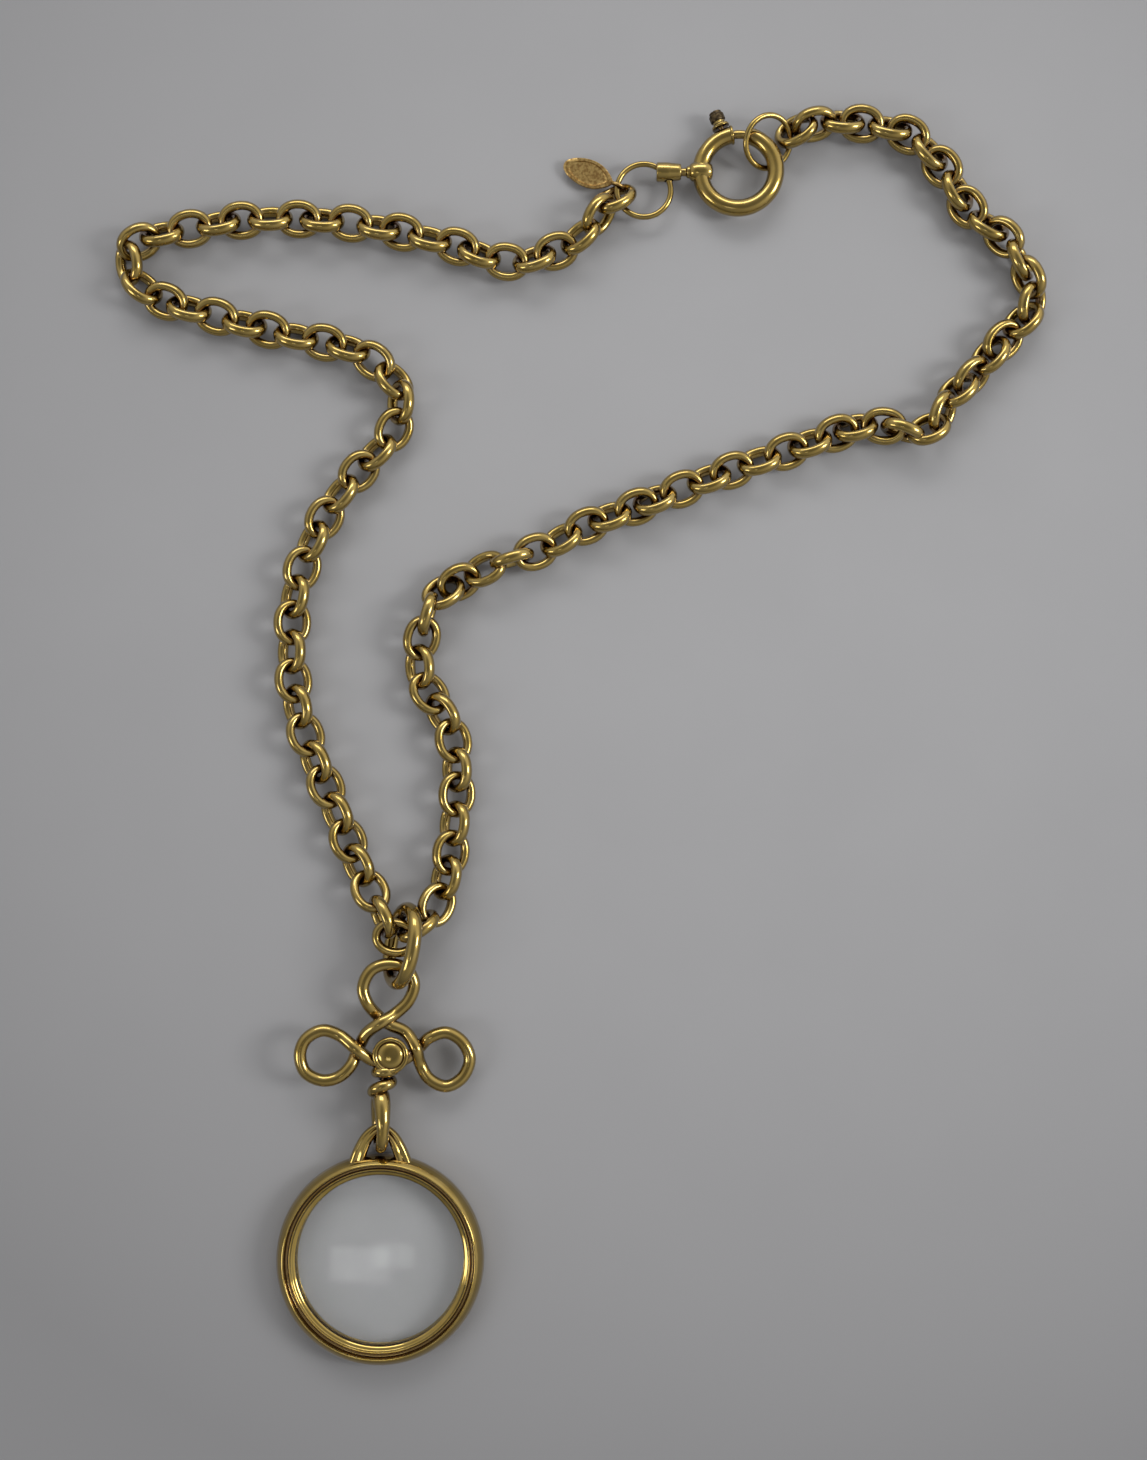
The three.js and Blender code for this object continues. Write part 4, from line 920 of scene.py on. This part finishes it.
def makeRings():
    for name, node, middle, length, width, size in (
        ("jumpRing", "jump_ring", spots["jumpMiddle"], right, ahead, "jump"),
        ("endRing", "end_ring", spots["endMiddle"], spots["slope"], spots["level"], "end"),
    ):
        bm = bmesh.new()
        addRing(bm, middle, length, width, rings[size + "Radius"], rings[size + "Wire"] / 2, 80, 16)
        dress(newObject(name, bm), node, claspGold)


def makeBarrel():
    bm = bmesh.new()
    end, tip = clasp["barrelLength"] / 2, clasp["barrelTip"]
    cavityEnd = tip - clasp["barrelWall"]
    cavityStart = cavityEnd - clasp["headLength"] - 2 * clasp["clearance"]
    headRoom, neckRoom = clasp["head"] / 2 + clasp["clearance"], clasp["neck"] / 2 + clasp["clearance"]
    half = clasp["barrel"] / 2
    corners = [(0, -end), (half, -end), (half, -0.2 * end), (0.93 * half, 0.1 * end),
               (0.86 * half, tip - 0.5 * mm), (0.8 * half, tip), (neckRoom, tip),
               (neckRoom, cavityEnd), (headRoom, cavityEnd), (headRoom, cavityStart),
               (0, cavityStart)]
    turned(bm, softened(corners, 0.4 * mm), 48, alongX(spots["barrelMiddle"]))
    barrel = newObject("claspBarrel", bm)
    bm = bmesh.new()
    room = rings["jumpWire"] / 2 + clasp["clearance"]
    addRing(bm, spots["jumpMiddle"], right, ahead, rings["jumpRadius"], room, 80, 20)
    combine(barrel, "DIFFERENCE", newObject("ringRoom", bm))
    dress(barrel, "clasp_barrel", claspGold)


def combine(piece, operation, *others):
    # joins the others to the piece, or cuts them out of it, and uses them up
    for other in others:
        modifier = piece.modifiers.new(other.name, "BOOLEAN")
        modifier.operation = operation
        modifier.solver = "EXACT"
        modifier.object = other
    bpy.context.view_layer.update()
    shaped = piece.evaluated_get(bpy.context.evaluated_depsgraph_get())
    mesh = bpy.data.meshes.new_from_object(shaped)
    piece.modifiers.clear()
    piece.data = mesh
    mesh.shade_smooth()
    mesh.set_sharp_from_angle(angle=radians(35))
    for other in others:
        bpy.data.objects.remove(other)


def tubeObject(name, path, thickness, sides, roundEnds=False):
    bm = bmesh.new()
    stations = stationsAlong(path, claspLift)
    if roundEnds:
        stations = withRoundEnds(stations, thickness / 2)
    sweep(bm, stations, roundSection(thickness / 2, sides))
    return newObject(name, bm)


def makeClasp():
    ring = tubeObject("claspRing", claspArc(clasp["tubeEnd"], clasp["mouth"] + 360), clasp["tube"], 32)
    bm = bmesh.new()
    ballShape = [(clasp["ballWidth"] / 2 * sin(turn) ** clasp["ballSquareness"],
                  -clasp["ball"] / 2 * cos(turn))
                 for turn in [pi * step / 24 for step in range(24)]] + [(0, clasp["ball"] / 2)]
    turned(bm, ballShape, 40, alongX(spots["ball"]))
    ball = newObject("claspBall", bm)
    bm = bmesh.new()
    cavityEnd = clasp["barrelTip"] - clasp["barrelWall"]
    span = clasp["barrelToBall"] - cavityEnd + clasp["clearance"]
    headStart = -span - clasp["headLength"]
    corners = [(0, headStart), (clasp["head"] / 2, headStart), (clasp["head"] / 2, -span),
               (clasp["neck"] / 2, -span), (clasp["neck"] / 2, -0.62 * clasp["ball"]),
               (0.72 * clasp["neck"], -0.56 * clasp["ball"]), (clasp["neck"], 0), (0, 0)]
    turned(bm, softened(corners, 0.15 * mm), 32, alongX(spots["ball"]))
    neckPiece = newObject("claspNeck", bm)
    combine(ring, "UNION", ball, neckPiece)
    boreFrom = clasp["tubeEnd"] - clasp["bore"]
    bore = tubeObject("bore", claspArc(boreFrom, clasp["boreEnd"]), clasp["bore"], 24)
    slotWidth = clasp["stem"] + 2 * clasp["slotClearance"]
    slotPath = claspArc(clasp["slot"], clasp["slotEnd"], clasp["radius"] - clasp["slotClearance"])
    slot = tubeObject("slot", slotPath, slotWidth, 20, True)
    combine(ring, "DIFFERENCE", bore, slot)
    dress(ring, "clasp_ring", claspGold)
    # a rolled lip round the tube's mouth
    bm = bmesh.new()
    lipAngle = clasp["tubeEnd"] + clasp["lipFromEnd"]
    aside = (onClasp(1, lipAngle) - spots["middle"]).normalized()
    reach = (clasp["tube"] - 0.3 * clasp["lip"]) / 2
    addRing(bm, onClasp(claspArm, lipAngle), claspLift, aside, reach, clasp["lip"] / 2, 48, 12)
    carry(newObject("claspLip", bm), "clasp_ring", claspGold)


def makeBolt():
    bolt = tubeObject("claspBolt", claspArc(clasp["boltTip"], clasp["boltTail"]), clasp["boltWire"], 24)
    knobAxis = onClasp(1, clasp["knob"]) - spots["middle"]
    base = clasp["radius"] + clasp["knobStandoff"]
    place = basis(spots["middle"], claspLift.cross(knobAxis), claspLift)
    bm = bmesh.new()
    half, rise = clasp["flangeWidth"] / 2, clasp["flangeHeight"]
    flange = [(0, claspArm), (clasp["stem"] / 2, claspArm), (clasp["stem"] / 2, base), (half, base),
              (half, base + 0.35 * rise), (0.72 * half, base + 0.6 * rise), (0.7 * half, base + rise),
              (0, base + rise)]
    turned(bm, softened(flange, 0.15 * mm), 40, place)
    combine(bolt, "UNION", newObject("flange", bm))
    dress(bolt, "clasp_bolt", claspGold)
    # the knob's cap is oxidised almost black
    bm = bmesh.new()
    half, low = clasp["knobWidth"] / 2, base + rise - 0.2 * mm
    top = low + clasp["knobHeight"]
    cap = [(0, low), (0.8 * half, low), (half, low + 0.35 * mm), (half, top - 0.7 * mm),
           (0.82 * half, top - 0.5 * mm), (0.82 * half, top), (0.6 * half, top),
           (0.52 * half, top - 0.3 * mm), (0, top - 0.3 * mm)]
    turned(bm, softened(cap, 0.12 * mm), 40, place)
    carry(newObject("claspKnob", bm), "clasp_bolt", knobFinish)


def makeSpring():
    bm = bmesh.new()
    start, end = clasp["boltTail"] + clasp["springMargin"], clasp["boreEnd"] - clasp["springMargin"]
    perTurn = 20
    count = clasp["springTurns"] * perTurn
    points = []
    for step in range(count + 1):
        turn = 2 * pi * step / perTurn
        degrees = start + (end - start) * step / count
        points.append(onClasp(claspArm + clasp["springRadius"] * cos(turn), degrees,
                              clasp["springRadius"] * sin(turn)))
    half = clasp["springWire"] / 2
    sweep(bm, withRoundEnds(stationsAlong(points, claspLift), half), roundSection(half, 10))
    spring = newObject("claspSpring", bm)
    dress(spring, "clasp_spring", steelFinish)
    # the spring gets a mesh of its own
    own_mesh(spring)


makeRings()
makeBarrel()
makeClasp()
makeBolt()
makeSpring()
print("clasp made")

# Hang tag, a bare oval with a raised edge, pointed only towards its loop
tag = {
    "length": 11.9 * mm, "width": 5.9 * mm, "thickness": 0.8 * mm, "rim": 0.7 * mm,
    "rimHeight": 0.3 * mm, "loopWire": 0.7 * mm, "loopClearance": 0.3 * mm, "pointed": 0.8,
    "hook": radians(168), "turn": radians(156), "slope": radians(-7),
    "roll": radians(-12), "edge": 0.12 * mm, "core": 2.2 * mm,
}


def tagRing(inset, height, steps=96):
    # one round of the tag's outline, drawn in by the inset
    reach = tag["length"] / 2 - inset * tag["length"] / tag["width"]
    wide = tag["width"] / 2 - inset
    ring = []
    for turn in turnsOf(steps):
        share = cos(turn)
        pointed = tag["pointed"] * (1 - share) / 2
        aside = wide * sin(turn) * abs(sin(turn)) ** pointed
        ring.append(Vector((reach * share, aside, height)))
    return ring


def makeTag():
    tagPin = spots["jumpMiddle"] + polar(rings["jumpRadius"], tag["hook"])
    hole = rings["jumpWire"] / 2 + tag["loopClearance"]
    direction = polar(cos(tag["slope"]), tag["turn"], sin(tag["slope"]))
    side = up.cross(direction).normalized()
    wide = side * cos(tag["roll"]) + direction.cross(side) * sin(tag["roll"])
    place = basis(tagPin + direction * (tag["length"] / 2 + hole), direction, wide)
    half, edge = tag["thickness"] / 2, tag["edge"]
    field = half - tag["rimHeight"]
    rim, core = tag["rim"], tag["core"]
    layers = [(core, -half), (edge, -half), (0, edge - half), (0, half - edge), (edge, half),
              (rim - edge, half), (rim + 0.5 * edge, field + 0.3 * edge), (rim + 2 * edge, field),
              (core - 5 * edge, field), (core, field)]
    bm = bmesh.new()
    rounds = [[bm.verts.new(place @ spot) for spot in tagRing(inset, height)] for inset, height in layers]
    for here, there in zip(rounds, rounds[1:]):
        bridge(bm, here, there)
    bm.faces.new(rounds[0][::-1])
    bm.faces.new(rounds[-1])
    loopHalf = tag["loopWire"] / 2
    addRing(bm, tagPin, direction, direction.cross(wide), hole + loopHalf, loopHalf, 40, 12)
    dress(newObject("hangTag", bm), "hang_tag", tagGold)


makeTag()
print("hang tag made")

# Table, lamps and camera
room = {
    "table": (0.338, 0.336, 0.341), "tableSize": 6, "walls": (0.76, 0.76, 0.77),
    "zenith": (0.27, 0.27, 0.275), "horizon": (0.5, 0.49, 0.48), "brightSide": (0.5, 0.75, 0),
    "leastShare": 0.32, "mostShare": 1.62, "wallBand": (0.1, 0.42), "ceilingBand": (0.76, 0.95),
    "paintedLightMiddle": (72 * mm, 104 * mm), "spotReach": 235 * mm, "edgeShade": 0.64,
}
lamps = [
    {"name": "keyLamp", "place": (1.0, 0.02, 0.72), "size": (0.33, 0.33), "power": 6.4},
    {"name": "farLamp", "place": (-0.1, 1.05, 0.8), "size": (0.8, 0.36), "power": 5},
    {"name": "leftLamp", "place": (-0.95, -0.35, 0.65), "size": (0.4, 0.3), "power": 2.2},
]
# the panes of a far window, which show in the glass
lamps += [{"name": name, "place": (across, -0.44, 1.25), "size": (0.07, 0.16), "power": 0.085}
          for name, across in (("leftPane", -0.36), ("middlePane", -0.27), ("rightPane", -0.18))]


def makeTable():
    bm = bmesh.new()
    bmesh.ops.create_grid(bm, x_segments=2, y_segments=2, size=room["tableSize"] / 2)
    mesh = bpy.data.meshes.new("paperTable")
    bm.to_mesh(mesh)
    bm.free()
    table = placed("paperTable", mesh)
    finish, tree, shader, place = startFinish("palePaper")
    shader.inputs["Roughness"].default_value = 0.75
    shader.inputs["Specular IOR Level"].default_value = 0.25
    # a little uneven, with painted shade: greyer away from a painted pool of light near the middle of the
    # picture
    mottle = fitted(tree, noiseAt(tree, place, 26, 4), 0.3, 0.7, 0, 1)
    darker = tuple(0.965 * part for part in room["table"])
    values = {"Location": flattened(origin) + Vector((*room["paintedLightMiddle"], 0)),
              "Scale": (room["spotReach"],) * 3}
    spot = addNode(tree, "Mapping", values, {"Vector": place})
    spot.vector_type = "TEXTURE"
    away = addNode(tree, "VectorMath", {}, {0: spot.outputs["Vector"], 1: spot.outputs["Vector"]})
    away.operation = "DOT_PRODUCT"
    paper = blended(tree, mottle, room["table"], darker)
    # painted shade, darkest far from the painted pool of light
    shaded = tuple(room["edgeShade"] * part for part in room["table"])
    tree.links.new(blended(tree, away.outputs["Value"], paper, shaded), shader.inputs["Base Color"])
    bumped(tree, shader, noiseAt(tree, place, 2600, 3), 0.02 * mm, 0.4)
    mesh.materials.append(finish)


def makeSky():
    # a pale room with a dimmer ceiling, brighter on the side of its windows
    world = bpy.data.worlds.new("studioWorld")
    scene.world = world
    world.use_nodes = True
    tree = world.node_tree
    tree.nodes.clear()
    output = tree.nodes.new("ShaderNodeOutputWorld")
    light = tree.nodes.new("ShaderNodeBackground")
    direction = tree.nodes.new("ShaderNodeTexCoord").outputs["Generated"]
    split = addNode(tree, "SeparateXYZ", {}, {0: direction})
    low = fitted(tree, split.outputs["Z"], *room["wallBand"], 0, 1)
    high = fitted(tree, split.outputs["Z"], *room["ceilingBand"], 0, 1)
    wall = blended(tree, low, room["horizon"], room["walls"])
    tree.links.new(blended(tree, high, wall, room["zenith"]), light.inputs["Color"])
    towards = addNode(tree, "VectorMath", {1: room["brightSide"]}, {0: direction})
    towards.operation = "DOT_PRODUCT"
    strength = fitted(tree, towards.outputs["Value"], -0.9, 0.9, room["leastShare"], room["mostShare"])
    tree.links.new(strength, light.inputs["Strength"])
    tree.links.new(light.outputs[0], output.inputs["Surface"])


def makeLamps():
    middle = (cadBounds[0] + cadBounds[1]) / 2
    for settings in lamps:
        lamp = bpy.data.lights.new(settings["name"], "AREA")
        lamp.shape = "RECTANGLE"
        lamp.size, lamp.size_y = settings["size"]
        lamp.energy = settings["power"]
        towards = Vector(settings["place"])
        lampUp = towards.cross(right).normalized()
        placed(settings["name"], lamp).matrix_world = basis(middle + towards, lampUp.cross(towards), lampUp)


def makeCamera():
    # straight above the middle of the picture, tilted a little towards the clasp
    settings = {"height": 380 * mm, "aside": 37.6 * mm, "ahead": 24.3 * mm, "pictureHeight": 1460}
    camera = bpy.data.cameras.new("tableCamera")
    camera.sensor_fit = "VERTICAL"
    camera.sensor_height = 24
    camera.lens = camera.sensor_height * picture["focus"] / settings["pictureHeight"]
    camera.clip_start = 0.01
    holder = placed("tableCamera", camera)
    holder.location = origin + Vector((settings["aside"], settings["ahead"], settings["height"]))
    holder.rotation_euler = (picture["tilt"], 0, 0)
    scene.camera = holder


makeTable()
makeSky()
makeLamps()
makeCamera()
scene.view_settings.view_transform = "Standard"
print("table, lamps and camera placed")
